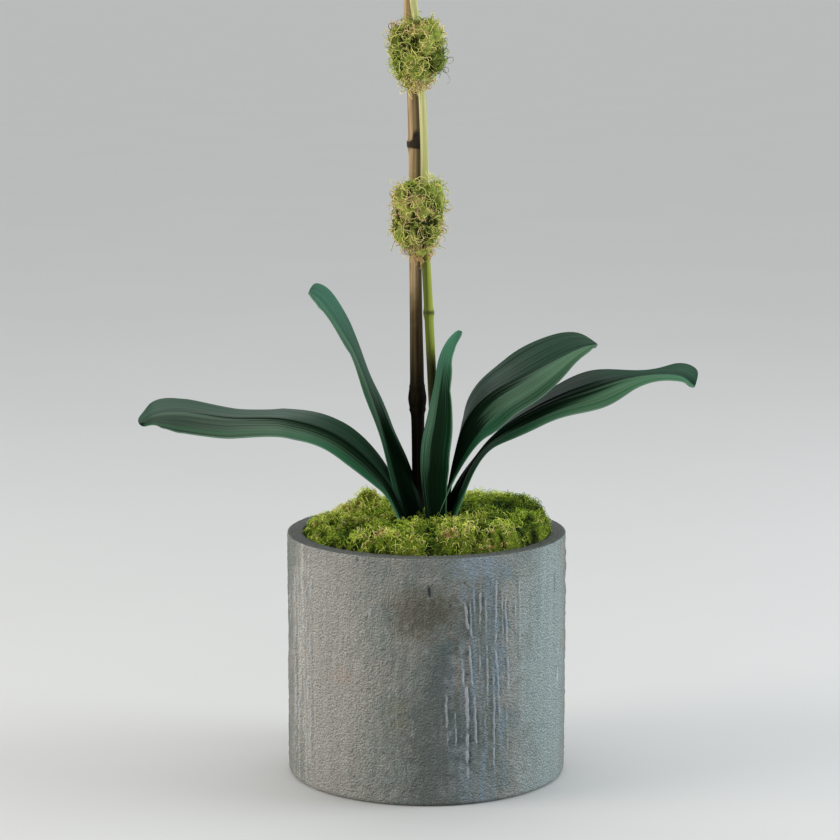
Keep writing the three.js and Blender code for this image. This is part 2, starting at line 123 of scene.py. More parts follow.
# %% A wire that can be added and multiplied
class Wire:
    """One output of a node. Sums with it add the nodes that work them out."""

    def __init__(self, finish, socket):
        self.finish = finish
        self.socket = socket

    def operator(operation, turned=False):
        def work_out(self, other):
            parts = (other, self) if turned else (self, other)
            sorts = {part.socket.type if isinstance(part, Wire) else type(part) for part in parts}
            kind = "ShaderNodeMath" if sorts <= {"VALUE", float, int} else "ShaderNodeVectorMath"
            return self.finish.node(kind, {"operation": operation}, dict(enumerate(parts)))
        return work_out

    __add__, __radd__ = operator("ADD"), operator("ADD", True)
    __sub__, __rsub__ = operator("SUBTRACT"), operator("SUBTRACT", True)
    __mul__, __rmul__ = operator("MULTIPLY"), operator("MULTIPLY", True)


# %% [markdown]
# The second class is a material in the making. Its one shader is a Principled shader. What is the same all
# over the surface is set on the shader itself, and what changes over the surface is wired to colour,
# roughness or bump.

# %% A finish that is built from wires
class Finish:
    """A material in the making, with one Principled shader."""

    def __init__(self, name, **fixed):
        self.material = bpy.data.materials.new(name)
        self.material.use_nodes = True
        self.tree = self.material.node_tree
        self.tree.nodes.clear()
        self.shader = self.tree.nodes.new("ShaderNodeBsdfPrincipled")
        output = self.tree.nodes.new("ShaderNodeOutputMaterial")
        self.tree.links.new(self.shader.outputs[0], output.inputs["Surface"])
        for socket, value in fixed.items():
            self.shader.inputs[socket.replace("_", " ")].default_value = value

    def feed(self, socket, value):
        if isinstance(value, Wire):
            self.tree.links.new(value.socket, socket)
        elif socket.type == "RGBA":
            socket.default_value = (*value, 1)
        elif socket.type == "VECTOR" and not isinstance(value, tuple):
            socket.default_value = (value, value, value)
        else:
            socket.default_value = value

    def node(self, kind, settings, sockets, output=0):
        """Adds a node, sets it up, feeds its sockets and returns one of its outputs."""
        made = self.tree.nodes.new(kind)
        for name, value in settings.items():
            if name == "stops":
                ramp = made.color_ramp
                for k, (place, colour) in enumerate(value):
                    stop = ramp.elements[k] if k < 2 else ramp.elements.new(place)
                    stop.position = place
                    stop.color = (*colour, 1)
            else:
                setattr(made, name, value)
        for key, value in sockets.items():
            self.feed(made.inputs[key], value)
        return Wire(self, made.outputs[output])

    def mark(self, name):
        """A number that the mesh keeps at each of its points."""
        return self.node("ShaderNodeAttribute", {"attribute_name": name}, {}, "Fac")

    def place(self):
        return self.node("ShaderNodeTexCoord", {}, {}, "Object")

    def part(self, vector, axis):
        return self.node("ShaderNodeSeparateXYZ", {}, {0: vector}, axis)

    def join(self, x, y, z):
        return self.node("ShaderNodeCombineXYZ", {}, {0: x, 1: y, 2: z})

    def maths(self, operation, *values):
        return self.node("ShaderNodeMath", {"operation": operation}, dict(enumerate(values)))

    def noise(self, vector, scale, detail=3.0, roughness=0.5):
        sockets = {"Vector": vector, "Scale": scale, "Detail": detail, "Roughness": roughness}
        return self.node("ShaderNodeTexNoise", {}, sockets)

    def step(self, value, low, high):
        """0 below low, 1 above high and a soft slope between them."""
        settings = {"interpolation_type": "SMOOTHSTEP"}
        return self.node("ShaderNodeMapRange", settings, {"Value": value, "From Min": low, "From Max": high})

    def bell(self, value, centre, width):
        """1 at the centre, and 0 from one and a half widths away."""
        return 1 - self.step(self.maths("ABSOLUTE", value - centre), 0.0, 1.5 * width)

    def mix(self, first, second, share):
        """The first colour, with a share of the second laid over it."""
        return self.node("ShaderNodeMix", {"data_type": "RGBA"}, {0: share, 6: first, 7: second}, 2)

    def lay(self, colour, *layers):
        """The colour with tints laid over it, one after another, each with its share."""
        for tint, share in layers:
            colour = self.mix(colour, tint, share)
        return colour

    def shade(self, colour, *amounts):
        """The colour made darker or lighter by numbers around 1."""
        settings = {"data_type": "RGBA", "blend_type": "MULTIPLY"}
        for amount in amounts:
            grey = self.join(amount, amount, amount)
            colour = self.node("ShaderNodeMix", settings, {0: 1.0, 6: colour, 7: grey}, 2)
        return colour

    def ramp(self, value, stops):
        return self.node("ShaderNodeValToRGB", {"stops": stops}, {0: value})

    def wear(self, colour, roughness, height, depth):
        """Wires up what changes over the surface. Depth is how far the bump seems to rise, in metres."""
        bump = self.node("ShaderNodeBump", {}, {"Strength": 1.0, "Distance": depth, "Height": height})
        self.feed(self.shader.inputs["Base Color"], colour)
        self.feed(self.shader.inputs["Roughness"], roughness)
        self.feed(self.shader.inputs["Normal"], bump)
        print("finish", self.material.name, "uses", len(self.tree.nodes), "nodes")
        return self.material


# %% [markdown]
# ## Meshes from rings of points
#
# A stem, a leaf, a thread of moss and the pot all have one thing in common: they can be described by rings
# of points, one after another, that each close on themselves. Joining each ring to the next with four-sided
# faces and closing both ends gives a sealed body. One helper does this for all of them, with arrays,
# because a loop in Python over half a million points would take minutes.

# %% Rings to faces
def ring_faces(rings, around, first=0):
    """Quads from each ring to the next. The rings run along a body, and their points turn with it."""
    start = np.arange(rings - 1)[:, None] * around
    here = np.arange(around)[None, :]
    after = (here + 1) % around
    quads = np.stack([start + here, start + after, start + around + after, start + around + here], axis=-1)
    return (first + quads.reshape(-1, 4)).tolist()


class Body:
    """Points, faces and marks of a piece while it is being put together."""

    def __init__(self):
        self.points = []
        self.faces = []
        self.marks = {}
        self.count = 0

    def add(self, rings, faces, marks):
        """Adds points and faces. A mark may be one number, or anything that spreads over the rings."""
        self.points.append(rings.reshape(-1, 3))
        self.faces.extend(faces)
        for name, values in marks.items():
            self.marks.setdefault(name, []).append(np.broadcast_to(values, rings.shape[:-1]).ravel())
        self.count += len(self.points[-1])

    def add_rings(self, rings, marks):
        """Adds rings, an array of ring by point by coordinate, closed by a flat face at each end."""
        length, around = rings.shape[:2]
        first = list(range(self.count, self.count + around))
        last = [(length - 1) * around + k for k in first]
        self.add(rings, ring_faces(length, around, self.count) + [first[::-1], last], marks)


# %% Bodies to pieces
def make_piece(name, body, material, slot, *nodes):
    """Makes the mesh and its object, lets it ride on the plant, and hides the solids that it stands for."""
    mesh = bpy.data.meshes.new(name)
    mesh.from_pydata(np.concatenate(body.points), [], body.faces)
    for mark, values in body.marks.items():
        layer = mesh.attributes.new(mark, "FLOAT", "POINT")
        layer.data.foreach_set("value", np.concatenate(values).astype(np.float32))
    mesh.shade_smooth()
    mesh.materials.append(material)
    mesh.update()
    piece = bpy.data.objects.new(name, mesh)
    scene.collection.objects.link(piece)
    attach(piece, "root")
    if nodes:
        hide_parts(*nodes)
    print(name, "has", sum(len(face) - 2 for face in body.faces), "triangles")


# %% [markdown]
# ## Curves
#
# Stems, midribs and petals follow smooth curves through a few given points. The curve is the common
# Catmull-Rom kind: between two points it runs parallel to the line that joins their neighbours. The source
# of the solids uses the same curve, so the fine pieces land exactly where the plain ones are.

# %% Small helpers for arrays
def unit(vectors):
    return vectors / np.linalg.norm(vectors, axis=-1, keepdims=True)


def circle(count):
    """Angles of points that are spread evenly round a circle."""
    return np.linspace(0, 2 * np.pi, count, endpoint=False)


def round_points(radius, turn, height):
    """Points at a distance from the upright axis, an angle round it and a height."""
    x = radius * np.cos(turn)
    return np.stack([x, radius * np.sin(turn), height + 0 * x], axis=-1)


def hump(value, centre, width):
    """1 at the centre, falling off to both sides. It is still a third one width away."""
    return np.exp(-((value - centre) / width) ** 2)


def soft_step(value, low, high):
    """0 below low, 1 above high and a soft slope between them."""
    share = np.clip((value - low) / (high - low), 0, 1)
    return share * share * (3 - 2 * share)


# %% A smooth line through points
class Line:
    """A smooth curve through points, for shares of its spans or of its length, from 0 to 1."""

    def __init__(self, points, unit=MM):
        points = np.array(points, float).reshape(len(points), -1) * unit
        self.spans = len(points) - 1
        self.knots = np.vstack([2 * points[0] - points[1], points, 2 * points[-1] - points[-2]])
        self.ticks = np.linspace(0, 1, 201)
        gaps = np.linalg.norm(np.diff(self.at(self.ticks), axis=0), axis=1)
        self.lengths = np.concatenate([[0], np.cumsum(gaps)])

    def at(self, t):
        place = np.clip(np.asarray(t, float), 0, 1) * self.spans
        span = np.minimum(np.floor(place).astype(int), self.spans - 1)
        w = (place - span)[..., None]
        before, start, end, after = (self.knots[span + k] for k in range(4))
        leave = (end - before) / 2
        arrive = (after - start) / 2
        cubic = 2 * start - 2 * end + leave + arrive
        square = -3 * start + 3 * end - 2 * leave - arrive
        return ((cubic * w + square) * w + leave) * w + start

    def along(self, t):
        t = np.asarray(t)
        return unit(self.at(t + 1e-4) - self.at(t - 1e-4))

    def spread(self, share):
        """Turns a share of the length into the share of the spans that at() takes."""
        return np.interp(np.asarray(share, float) * self.lengths[-1], self.lengths, self.ticks)


def follow(values, t):
    """Reads a short list of numbers as a smooth function of t from 0 to 1."""
    return Line(values, 1.0).at(t)[..., 0]


# %% [markdown]
# A rod is a circle carried along a line. If each circle were turned to face the world, a rod that bends
# over would twist, so every circle takes its first spoke from the one before it.

# %% Rods
ROD_SKEW = (0.3, 1, 0.2)  # a direction that no rod starts in


def rod_rings(line, radius_at, shares, sides):
    """Rings of a round rod. radius_at takes the share of the length and the centre of each ring."""
    t = line.spread(shares)
    centres = line.at(t)
    along = line.along(t)
    spoke = unit(np.cross(along[0], ROD_SKEW))
    spokes = []
    for way in along:
        spoke = unit(spoke - way * np.dot(spoke, way))
        spokes.append(spoke)
    spokes = np.array(spokes)
    others = np.cross(along, spokes)
    turn = circle(sides)[None, :, None]
    ring = spokes[:, None] * np.cos(turn) + others[:, None] * np.sin(turn)
    return centres[:, None] + ring * radius_at(shares, centres)[:, None, None]


# %% [markdown]
# ## The pot
#
# The pot is a thick cast cylinder. Its wall was stippled while wet, so it is covered with grains and pits
# of one to three millimetres, and thin runs of slurry have dried on it as upright ridges. Such relief could
# be painted on with a bump, but pits and ridges this large change the outline and cast shadows. So the wall
# is a mesh with a point every millimetre that is really pushed in and out, and only the finest grain is a
# bump.

# %% Sizes of the pot
POT_RADIUS = 89 * MM
POT_HEIGHT = 156 * MM
POT_WALL = 10 * MM
POT_FLOOR = 14 * MM
FOOT_ROUND = 3 * MM
RIM_ROUND = 1 * MM
WALL_SKIN = 2.2 * MM  # how far in the wall's rough skin reaches
STAND_BACK = 0.25 * MM  # how far the skin's mean lies inside the plain cylinder
POT_COLUMNS = 540
WALL_ROWS = 155


def arc_rows(radius, height, size, start, end, steps):
    """Rows of a rounded edge, from one angle to another round a centre."""
    turns = np.radians(np.linspace(start, end, steps))
    return [(radius + size * math.cos(a), height + size * math.sin(a)) for a in turns]


def pot_rows():
    """Radius and height of each ring of the pot, from the foot's middle round the rim to the floor inside."""
    inner = POT_RADIUS - POT_WALL
    rows = [(share * (POT_RADIUS - FOOT_ROUND), 0) for share in (0.02, 0.5, 0.9)]
    rows += arc_rows(POT_RADIUS - FOOT_ROUND, FOOT_ROUND, FOOT_ROUND, -90, -8, 6)
    wall = np.linspace(FOOT_ROUND, POT_HEIGHT - RIM_ROUND, WALL_ROWS)
    rows += [(POT_RADIUS, height) for height in wall]
    rows += arc_rows(POT_RADIUS - RIM_ROUND, POT_HEIGHT - RIM_ROUND, RIM_ROUND, 30, 90, 3)
    rows += [(POT_RADIUS - share * POT_WALL, POT_HEIGHT) for share in (0.25, 0.4, 0.55, 0.7, 0.85)]
    rows += arc_rows(inner + RIM_ROUND, POT_HEIGHT - RIM_ROUND, RIM_ROUND, 90, 180, 3)
    rows += [(inner, height * MM) for height in (150, 142, 120, 60)]
    rows += [(share * inner, POT_FLOOR) for share in (1, 0.5, 0.02)]
    return np.array(rows)


print("the pot has", len(pot_rows()), "rows of", POT_COLUMNS, "points")


# %% [markdown]
# The relief is a sum of soft random waves, pits and runs. The waves come from a lattice of random heights
# that is blended smoothly and closes round the pot without a seam. Runs on the front are placed where the
# real ones are, each with its turn round the pot in degrees from the front, and those at the back are drawn
# by a seeded chance.

# %% Random relief on a cylinder
def ripple(u, v, cells_u, cells_v, seed):
    """Smooth random heights from -1 to 1, for u and v from 0 to 1. It closes on itself along u."""
    heights = np.random.default_rng(seed).uniform(-1, 1, (cells_u, cells_v + 2))
    x = u * cells_u
    y = v * cells_v
    i = np.floor(x).astype(int)
    j = np.floor(y).astype(int)
    p = soft_step(x - i, 0, 1)
    q = soft_step(y - j, 0, 1)
    near = heights[i % cells_u, j] * (1 - p) + heights[(i + 1) % cells_u, j] * p
    far = heights[i % cells_u, j + 1] * (1 - p) + heights[(i + 1) % cells_u, j + 1] * p
    return near * (1 - q) + far * q


# %% Runs of slurry
FRONT_RUNS = [
    # turn at the top and bottom in degrees, top and bottom height in mm, half width and rise in mm
    (-68.0, -67.5, 140, 6, 0.8, 0.9),
    (-64.5, -64.0, 132, 20, 0.7, 0.9),
    (-61.0, -60.5, 148, 30, 0.7, 0.8),
    (-57.8, -56.8, 148, 52, 0.8, 0.9),
    (-54.0, -54.4, 138, 18, 0.7, 0.9),
    (14.0, 16.9, 144, 101, 0.8, 1.4),
    (17.2, 18.0, 130, 98, 0.7, 0.9),
    (21.0, 21.4, 139, 106, 0.7, 1.2),
    (23.6, 23.6, 132, 100, 0.7, 0.8),
    (18.4, 19.6, 143, 112, 0.7, 0.7),
    (28.0, 28.6, 142, 84, 0.8, 1.1),
    (31.0, 31.4, 134, 96, 0.7, 0.7),
    (32.6, 34.4, 132, 66, 0.8, 1.1),
    (37.4, 37.6, 131, 104, 0.7, 0.7),
    (39.8, 40.0, 140, 90, 0.7, 0.7),
    (12.5, 15.0, 112, 70, 0.7, 0.9),
    (17.0, 18.6, 104, 66, 0.7, 1.1),
    (20.6, 21.6, 108, 80, 0.7, 0.7),
    (24.2, 24.8, 102, 58, 0.7, 1.0),
    (29.0, 30.5, 92, 40, 0.7, 0.8),
    (7.8, 8.1, 73, 34, 0.7, 1.0),
    (11.4, 11.8, 62, 34, 0.6, 0.8),
    (15.8, 16.6, 78, 14, 0.9, 1.5),
    (19.2, 19.8, 70, 29, 0.8, 1.3),
    (23.4, 24.0, 72, 36, 0.7, 0.8),
    (27.2, 27.9, 82, 20, 0.7, 0.9),
    (33.6, 33.8, 60, 24, 0.7, 0.6),
    (0.4, 1.9, 141, 128, 0.7, -1.5),
    (2.2, 3.0, 136, 126, 0.6, -1.0),
]


def back_runs(count=34, seed=21):
    """Runs for the rest of the wall, where nothing shows how they lie."""
    chance = np.random.default_rng(seed)
    runs = []
    for _ in range(count):
        turn = chance.uniform(62, 290)
        top = chance.uniform(60, 150)
        bottom = max(4, top - chance.uniform(20, 110))
        rise = chance.uniform(0.3, 0.7) * chance.choice([1, 1, -0.8])
        runs.append((turn, turn + chance.uniform(-1.5, 1.5), top, bottom, chance.uniform(0.7, 1.6), rise))
    return runs


def run_relief(turn, height):
    """Rise of all the runs, in metres."""
    total = np.zeros_like(turn)
    level = np.clip(height / POT_HEIGHT, 0, 1)

    def along_run(k, cells, seed):
        return ripple(turn * 0 + k % 1, level, 40, cells, seed)

    for k, (top_turn, low_turn, top, bottom, width, rise) in enumerate(FRONT_RUNS + back_runs()):
        share = np.clip((top * MM - height) / ((top - bottom) * MM), 0, 1)
        wander = 0.2 * np.sin(height * 90 + 2.1 * k) + 0.25 * along_run(0.37 * k, 70, 14)
        middle = np.radians(top_turn + (low_turn - top_turn) * share + wander)
        across = np.angle(np.exp(1j * (turn - middle))) * POT_RADIUS / (width * MM)
        ends = np.clip((top * MM - height) / (4 * MM), 0, 1)
        ends = ends * np.clip((height - bottom * MM) / (8 * MM), 0, 1)
        uneven = np.clip(0.7 + 0.9 * along_run(0.71 * k, 30, 15), 0, 1.4) + 0.3 * along_run(0.13 * k, 110, 16)
        ridge = hump(across, 0, 1) - 0.4 * hump(across, 1.8, 0.8) * (rise > 0)
        total += rise * MM * ridge * ends * uneven
    return total


print(len(FRONT_RUNS), "runs at the front and", len(back_runs()), "more round the back")


# %% Pits and grain
def pit_relief(turn, height, count=420, seed=5):
    """Depth of small pits, in metres and below zero. They are closest together on the left of the front."""
    chance = np.random.default_rng(seed)
    total = np.zeros_like(turn)
    heights = height[:, 0]
    for _ in range(count):
        middle = math.radians(chance.choice([chance.normal(-22, 24), chance.uniform(-180, 180)]))
        level = chance.uniform(4, 153) * MM
        size = chance.uniform(0.5, 0.9) * MM
        depth = chance.uniform(0.2, 0.55) * MM
        rows = np.abs(heights - level) < 3.2 * size
        across = np.angle(np.exp(1j * (turn[rows] - middle))) * POT_RADIUS / size
        total[rows] -= depth * np.exp(-(across ** 2 + ((height[rows] - level) / (1.3 * size)) ** 2))
    return total


def grain_relief(turn, height):
    """Waves and stipple of the wall, in metres. The right of the front is the smoothest."""
    u = (turn / (2 * np.pi)) % 1
    v = np.clip(height / POT_HEIGHT, 0, 1)
    degrees = np.degrees(turn)
    rough = 1 - 0.65 * hump(degrees, 57, 22) + 0.25 * hump(degrees, -18, 28)
    waves = 0.25 * ripple(u, v, 26, 7, 1) + 0.14 * ripple(u, v, 70, 20, 2)
    stipple = 0.22 * ripple(u, v, 190, 52, 3) + 0.3 * ripple(u, v, 270, 76, 4)
    return waves * MM, stipple * rough * MM


# %% The pot's mesh
def column_turns():
    """Turns of the columns in degrees from the front. They are closest where the runs are."""
    fine = np.linspace(-180, 180, 3601)
    density = 1 + 1.6 * hump(fine, 24, 18) + 0.6 * hump(fine, -40, 40)
    total = np.cumsum(density)
    return np.interp(np.arange(POT_COLUMNS) / POT_COLUMNS * (total[-1] - total[0]) + total[0], total, fine)


def build_pot(material):
    rows = pot_rows()
    turn = np.radians(column_turns())[None, :].repeat(len(rows), 0)
    radius = rows[:, :1].repeat(POT_COLUMNS, 1)
    height = rows[:, 1:].repeat(POT_COLUMNS, 1)
    wall = (radius > POT_RADIUS - WALL_SKIN) & (height > 0.2 * MM)
    fade = np.clip(height / (6 * MM), 0.15, 1) * np.clip((POT_HEIGHT - height) / (2.5 * MM), 0.3, 1)
    waves, stipple = grain_relief(turn, height)
    runs = run_relief(turn, height) * fade * wall
    grains = (stipple + pit_relief(turn, height)) * fade * wall
    rim = (height > POT_HEIGHT - 0.4 * MM) * 1.0
    nicks = rim * 0.14 * MM * ripple(turn / (2 * np.pi) % 1, radius / POT_RADIUS, 230, 60, 8)
    out = radius + waves * fade * wall + grains + runs - STAND_BACK * wall
    points = np.stack([out * np.sin(turn), -out * np.cos(turn), height + nicks - 0.15 * MM * rim], axis=-1)
    top = np.maximum(rim, (radius < POT_RADIUS - WALL_SKIN) & (height > 1 * MM))
    body = Body()
    body.add_rings(points, {"relief": grains / MM, "runs": runs / MM, "rim": top})
    make_piece("pot_wall", body, material, "pot", "pot")


# %% [markdown]
# The colour of the cast stone changes slowly round the pot: warm and pale on the left, green-grey and
# darker in the middle with one brown stain, streaked with blue-grey on the right of the middle and pale
# again at the right edge. The pale left and right and the darker middle are partly the stone's own tone
# and partly painted light and shade from the two side lights. Each of these is a soft patch, placed by its
# turn and height and frayed by noise so that no edge shows. Crests of the runs and grains are painted pale
# as highlight, and grooves of the runs and pits dark as shade, from marks that the mesh keeps. The stone's
# crumbs are finer than the mesh, so they're a bump. A painted highlight lies on the upper side of each
# crumb: where the same noise, read a hair's breadth lower, is the stronger, the colour is lightened. Both
# flanks get a little painted shade.

# %% Patches of the cast stone
# The first patch (pale, warm, left), the next two (darker middle) and the second upper patch (pale, cool,
# right) are partly painted light and shade.
STONE_PATCHES = [
    # colour, middle turn and half width in degrees, middle height and reach in mm, amount
    ((0.36, 0.345, 0.315), -48.0, 27.0, 75.0, 120.0, 0.85),
    ((0.1, 0.125, 0.122), 4.0, 13.0, 40.0, 52.0, 0.75),
    ((0.08, 0.108, 0.108), 8.0, 8.0, 90.0, 20.0, 0.7),
    ((0.13, 0.12, 0.088), -2.0, 15.0, 122.0, 17.0, 0.75),
    ((0.08, 0.076, 0.056), 2.0, 8.0, 122.0, 12.0, 0.35),
    ((0.18, 0.105, 0.075), 6.0, 6.0, 104.0, 1.6, 0.55),
    ((0.2, 0.185, 0.115), -12.0, 6.0, 56.0, 12.0, 0.4),
    ((0.15, 0.15, 0.12), -5.0, 9.0, 38.0, 10.0, 0.3),
    ((0.4, 0.3, 0.24), -38.0, 4.5, 77.0, 6.0, 0.45),
]
UPPER_PATCHES = [
    ((0.27, 0.33, 0.38), 20.0, 14.0, 152.0, 10.0, 0.6),
    ((0.29, 0.35, 0.35), 60.0, 22.0, 75.0, 120.0, 0.85),
]


# %% Cast stone
def cast_stone():
    finish = Finish("cast stone", Specular_IOR_Level=0.3)
    place = finish.place()
    turn = finish.maths("ARCTAN2", finish.part(place, 0), finish.part(place, 1) * -1.0) * (180 / math.pi)
    cloud = finish.noise(place, 38.0, 4.0, 0.6)
    ragged = finish.noise(place, 150.0, 4.0, 0.65)
    fleck = finish.noise(place, 520.0, 3.0, 0.6)
    grain = finish.noise(place, 1100.0, 2.0, 0.6)
    streak = finish.noise(place * (260.0, 260.0, 10.0), 1.0, 3.0, 0.55)
    rag = (cloud - 0.5) * 30.0 + (ragged - 0.5) * 22.0
    frayed = turn + rag
    level = finish.part(place, 2) * 1000.0 + rag

    def with_patches(colour, patches):
        for tint, middle, half, height, reach, amount in patches:
            share = finish.bell(frayed, middle, half) * finish.bell(level, height, reach)
            colour = finish.mix(colour, tint, finish.step(share, 0.0, 0.8) * amount)
        return colour

    colour = finish.mix((0.2, 0.225, 0.205), (0.28, 0.275, 0.25), finish.step(cloud, 0.4, 0.62))
    blue = finish.bell(frayed, 24.0, 11.0) * finish.step(streak, 0.36, 0.6)
    pale = finish.bell(turn, -62.0, 9.0) * finish.step(streak, 0.46, 0.62)
    colour = with_patches(colour, STONE_PATCHES)
    colour = finish.lay(colour, ((0.2, 0.265, 0.32), blue * 0.85), ((0.5, 0.49, 0.45), pale * 0.6))
    colour = with_patches(colour, UPPER_PATCHES)

    relief = finish.mark("relief")
    runs = finish.mark("runs")
    crumb = finish.noise(place, 860.0, 2.0, 0.6)
    # Painted highlight: the upper side of each crumb is lightened, as if lit from above.
    crumb_top_highlight = finish.noise(place + (0.0002, 0.0, -0.0004), 860.0, 2.0, 0.6) - crumb
    # Painted shade: both flanks, from 62 to 84 degrees off the front, are darkened a little.
    flanks = finish.step(finish.maths("ABSOLUTE", turn), 62.0, 84.0)
    slate = finish.mix((0.055, 0.062, 0.055), (0.14, 0.15, 0.138), finish.step(fleck, 0.35, 0.65))
    shades = (1.0 - flanks * 0.17, 0.8 + fleck * 0.4, 0.76 + streak * 0.44, 1.0 + crumb_top_highlight * 2.6)
    # Painted shade darkens the pits and the runs' grooves, and a painted highlight pales the grains' and the
    # runs' crests.
    colour = finish.lay(
        finish.shade(colour, *shades),
        ((0.045, 0.05, 0.045), (1 - finish.step(relief, -0.85, -0.25)) * 0.75),
        ((0.45, 0.47, 0.47), finish.step(relief, 0.2, 0.55) * 0.3),
        ((0.05, 0.062, 0.07), (1 - finish.step(runs, -0.9, -0.15)) * 0.75),
        ((0.5, 0.55, 0.59), finish.step(runs, 0.12, 0.8) * 0.7),
        (slate, finish.mark("rim")),
    )
    height = fleck * 0.3 + crumb * 0.75 + grain * 0.25
    return finish.wear(colour, 0.62 + (fleck - 0.5) * 0.4, height, 1.8 * MM)


build_pot(cast_stone())

# %% [markdown]
# ## Bark in the pot
#
# Under the moss the pot is filled with bark chips. Nobody sees them, so the plain solid stays and only gets
# a bark finish: angular cells of brown, with darker gaps between them.

# %% Bark chips
def bark_chips():
    finish = Finish("bark chips", Specular_IOR_Level=0.2)
    place = finish.place()
    cells = {"Vector": place, "Scale": 110.0}
    chips = finish.node("ShaderNodeTexVoronoi", {"feature": "F1"}, cells, "Distance")
    grain = finish.noise(place * (1.0, 1.0, 4.0), 300.0, 4.0, 0.6)
    colour = finish.mix((0.09, 0.045, 0.022), (0.03, 0.016, 0.009), finish.step(chips, 0.2, 0.75))
    colour = finish.shade(colour, 0.6 + grain * 0.8)
    return finish.wear(colour, 0.85 + (grain - 0.5) * 0.1, 1 - chips + grain * 0.3, 3 * MM)


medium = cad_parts["potting_medium"]
medium.material_slots[0].material = bark_chips()

# %% [markdown]
# ## Moss
#
# Sheet moss is a mat of very fine curled shoots. Seen from a step away it has bright tips, dark hollows
# between them and a shaggy edge against the pot. Hair curves could make it, but they wouldn't be left as a
# mesh. So a lumpy dark cushion is laid down first, and thousands of thin closed threads with three sides
# curl over it.

# %% The height of the moss
MOSS_RADIUS = POT_RADIUS - POT_WALL - 0.35 * MM
MOSS_BOTTOM = 136.35 * MM
MOSS_EDGE = 154  # height of the pillow where it meets the pot, in mm
CUSHION_SINK = 1.3 * MM  # how far the cushion lies under the moss's top
ROOT_SINK = 1.4 * MM
MOSS_LUMPS = [(-39, 45, 9, 11), (54, 34, 18, 3), (-20, -46, 18, 3), (30, -50, 14, 2)]


def moss_top(x, y):
    """Height of the moss at a place in the pot's mouth, in metres: a pillow that is higher on the right."""
    x = x / MM
    y = y / MM
    r = np.minimum(1, np.hypot(x, y) * MM / MOSS_RADIUS)
    rightness = soft_step(x, -70, 60)
    z = MOSS_EDGE + 4 * rightness + (6 + 5 * rightness) * (1 - r ** 24)
    for lump_x, lump_y, spread, height in MOSS_LUMPS:
        z = z + height * np.exp(-((x - lump_x) ** 2 + (y - lump_y) ** 2) / (2 * spread ** 2))
    waves = np.sin(x * 0.31 + 1) * np.cos(y * 0.27) + 0.8 * np.sin(x * 0.17 - y * 0.39)
    return (z + (1 - r ** 8) * waves) * MM


print("the moss is", round(float(moss_top(0, 0)) / MM, 1), "mm high in the middle")


# %% [markdown]
# Sheet moss is never one even lawn. It's pieced together from clumps of one to two centimetres, each a
# little dome of its own colour, with gaps where two of them meet, which get painted shade. Two sets of
# seeded clump centres, wide and small, give all of it: how far a place is from its nearest centre shapes
# the dome and darkens the gap, and the number of that centre picks the colour.

# %% Clumps
class Clumps:
    """Seeded clump centres, spread over the pot's mouth."""

    def __init__(self, count, seed):
        chance = np.random.default_rng(seed)
        reach = MOSS_RADIUS * np.sqrt(chance.uniform(0, 1, count))
        turn = chance.uniform(0, 2 * np.pi, count)
        self.x = reach * np.cos(turn)
        self.y = reach * np.sin(turn)
        self.tints = chance.uniform(-1, 1, count)

    def at(self, x, y):
        """For each place: 0 at a clump's centre to 1 at its gap, and the tint of the clump from -1 to 1."""
        away = np.hypot(np.ravel(x)[:, None] - self.x, np.ravel(y)[:, None] - self.y)
        order = np.argsort(away, axis=1)
        first = np.take_along_axis(away, order[:, :1], 1)[:, 0]
        second = np.take_along_axis(away, order[:, 1:2], 1)[:, 0]
        return (first / second).reshape(np.shape(x)), self.tints[order[:, 0]].reshape(np.shape(x))


wide_clumps = Clumps(46, 35)
small_clumps = Clumps(190, 33)


def clumps(x, y):
    """Gap and tint of the wide and the small clumps together."""
    wide_gap, wide_tint = wide_clumps.at(x, y)
    small_gap, small_tint = small_clumps.at(x, y)
    gap = np.maximum(wide_gap ** 1.3, 0.92 * small_gap) * (1 - 0.4 * soft_step(y / MM, 10, 40))
    return gap, 0.6 * wide_tint + 0.5 * small_tint


def dome(x, y):
    """Rise of the clumps over the even cushion, in metres."""
    wide_gap, wide_tint = wide_clumps.at(x, y)
    small_gap, small_tint = small_clumps.at(x, y)
    wide = 1.3 - 4.3 * soft_step(wide_gap, 0.4, 1.0) + 0.9 * wide_tint
    small = 0.8 - 2.2 * soft_step(small_gap, 0.5, 1.0)
    return (wide + small) * (1 - 0.6 * soft_step(y / MM, 10, 40)) * MM


# %% The cushion under the threads
def build_moss_cushion(material, columns=190, rows=56):
    turn = circle(columns)
    share = np.sin(np.linspace(0.5, 0.01, rows) * np.pi)[:, None]
    top = round_points(MOSS_RADIUS * share, turn, 0)
    x, y = top[..., 0], top[..., 1]
    top[..., 2] = moss_top(x, y) + dome(x, y) - CUSHION_SINK
    side = round_points(MOSS_RADIUS * share[:1], turn, MOSS_BOTTOM)
    gap, tint = clumps(x, y)
    body = Body()
    body.add_rings(
        np.concatenate([side * (0.02, 0.02, 1), side, top]),
        {"gap": gap[[0, 0, *range(rows)]], "tint": tint[[0, 0, *range(rows)]]},
    )
    make_piece("moss_cushion", body, material, "moss", "moss")


# %% [markdown]
# A thread starts at its root and grows in short steps. At each step its heading turns a little round its
# own random axis, which makes it curl, and a gentle push keeps it in its layer over the cushion. All
# threads grow at once, as rows of one array.

# %% Growing threads
SKEW = (0.31, 0.52, 0.8)  # a direction that no thread runs along exactly
THREAD_TIP = 0.4  # thickness of a thread's tip, as a share of its root's
WANDER = 0.12


def grow_threads(roots, headings, step, joints, curl, steer, chance):
    """Curling paths, an array of thread by joint by coordinate."""
    axes = unit(chance.normal(size=roots.shape))
    heading = unit(headings)
    paths = [roots]
    for _ in range(joints):
        turn = curl[:, None] * np.cross(axes, heading)
        heading = unit(heading + turn + steer(paths[-1]) + WANDER * chance.normal(size=roots.shape))
        paths.append(paths[-1] + heading * step[:, None])
    return np.stack(paths, axis=1)


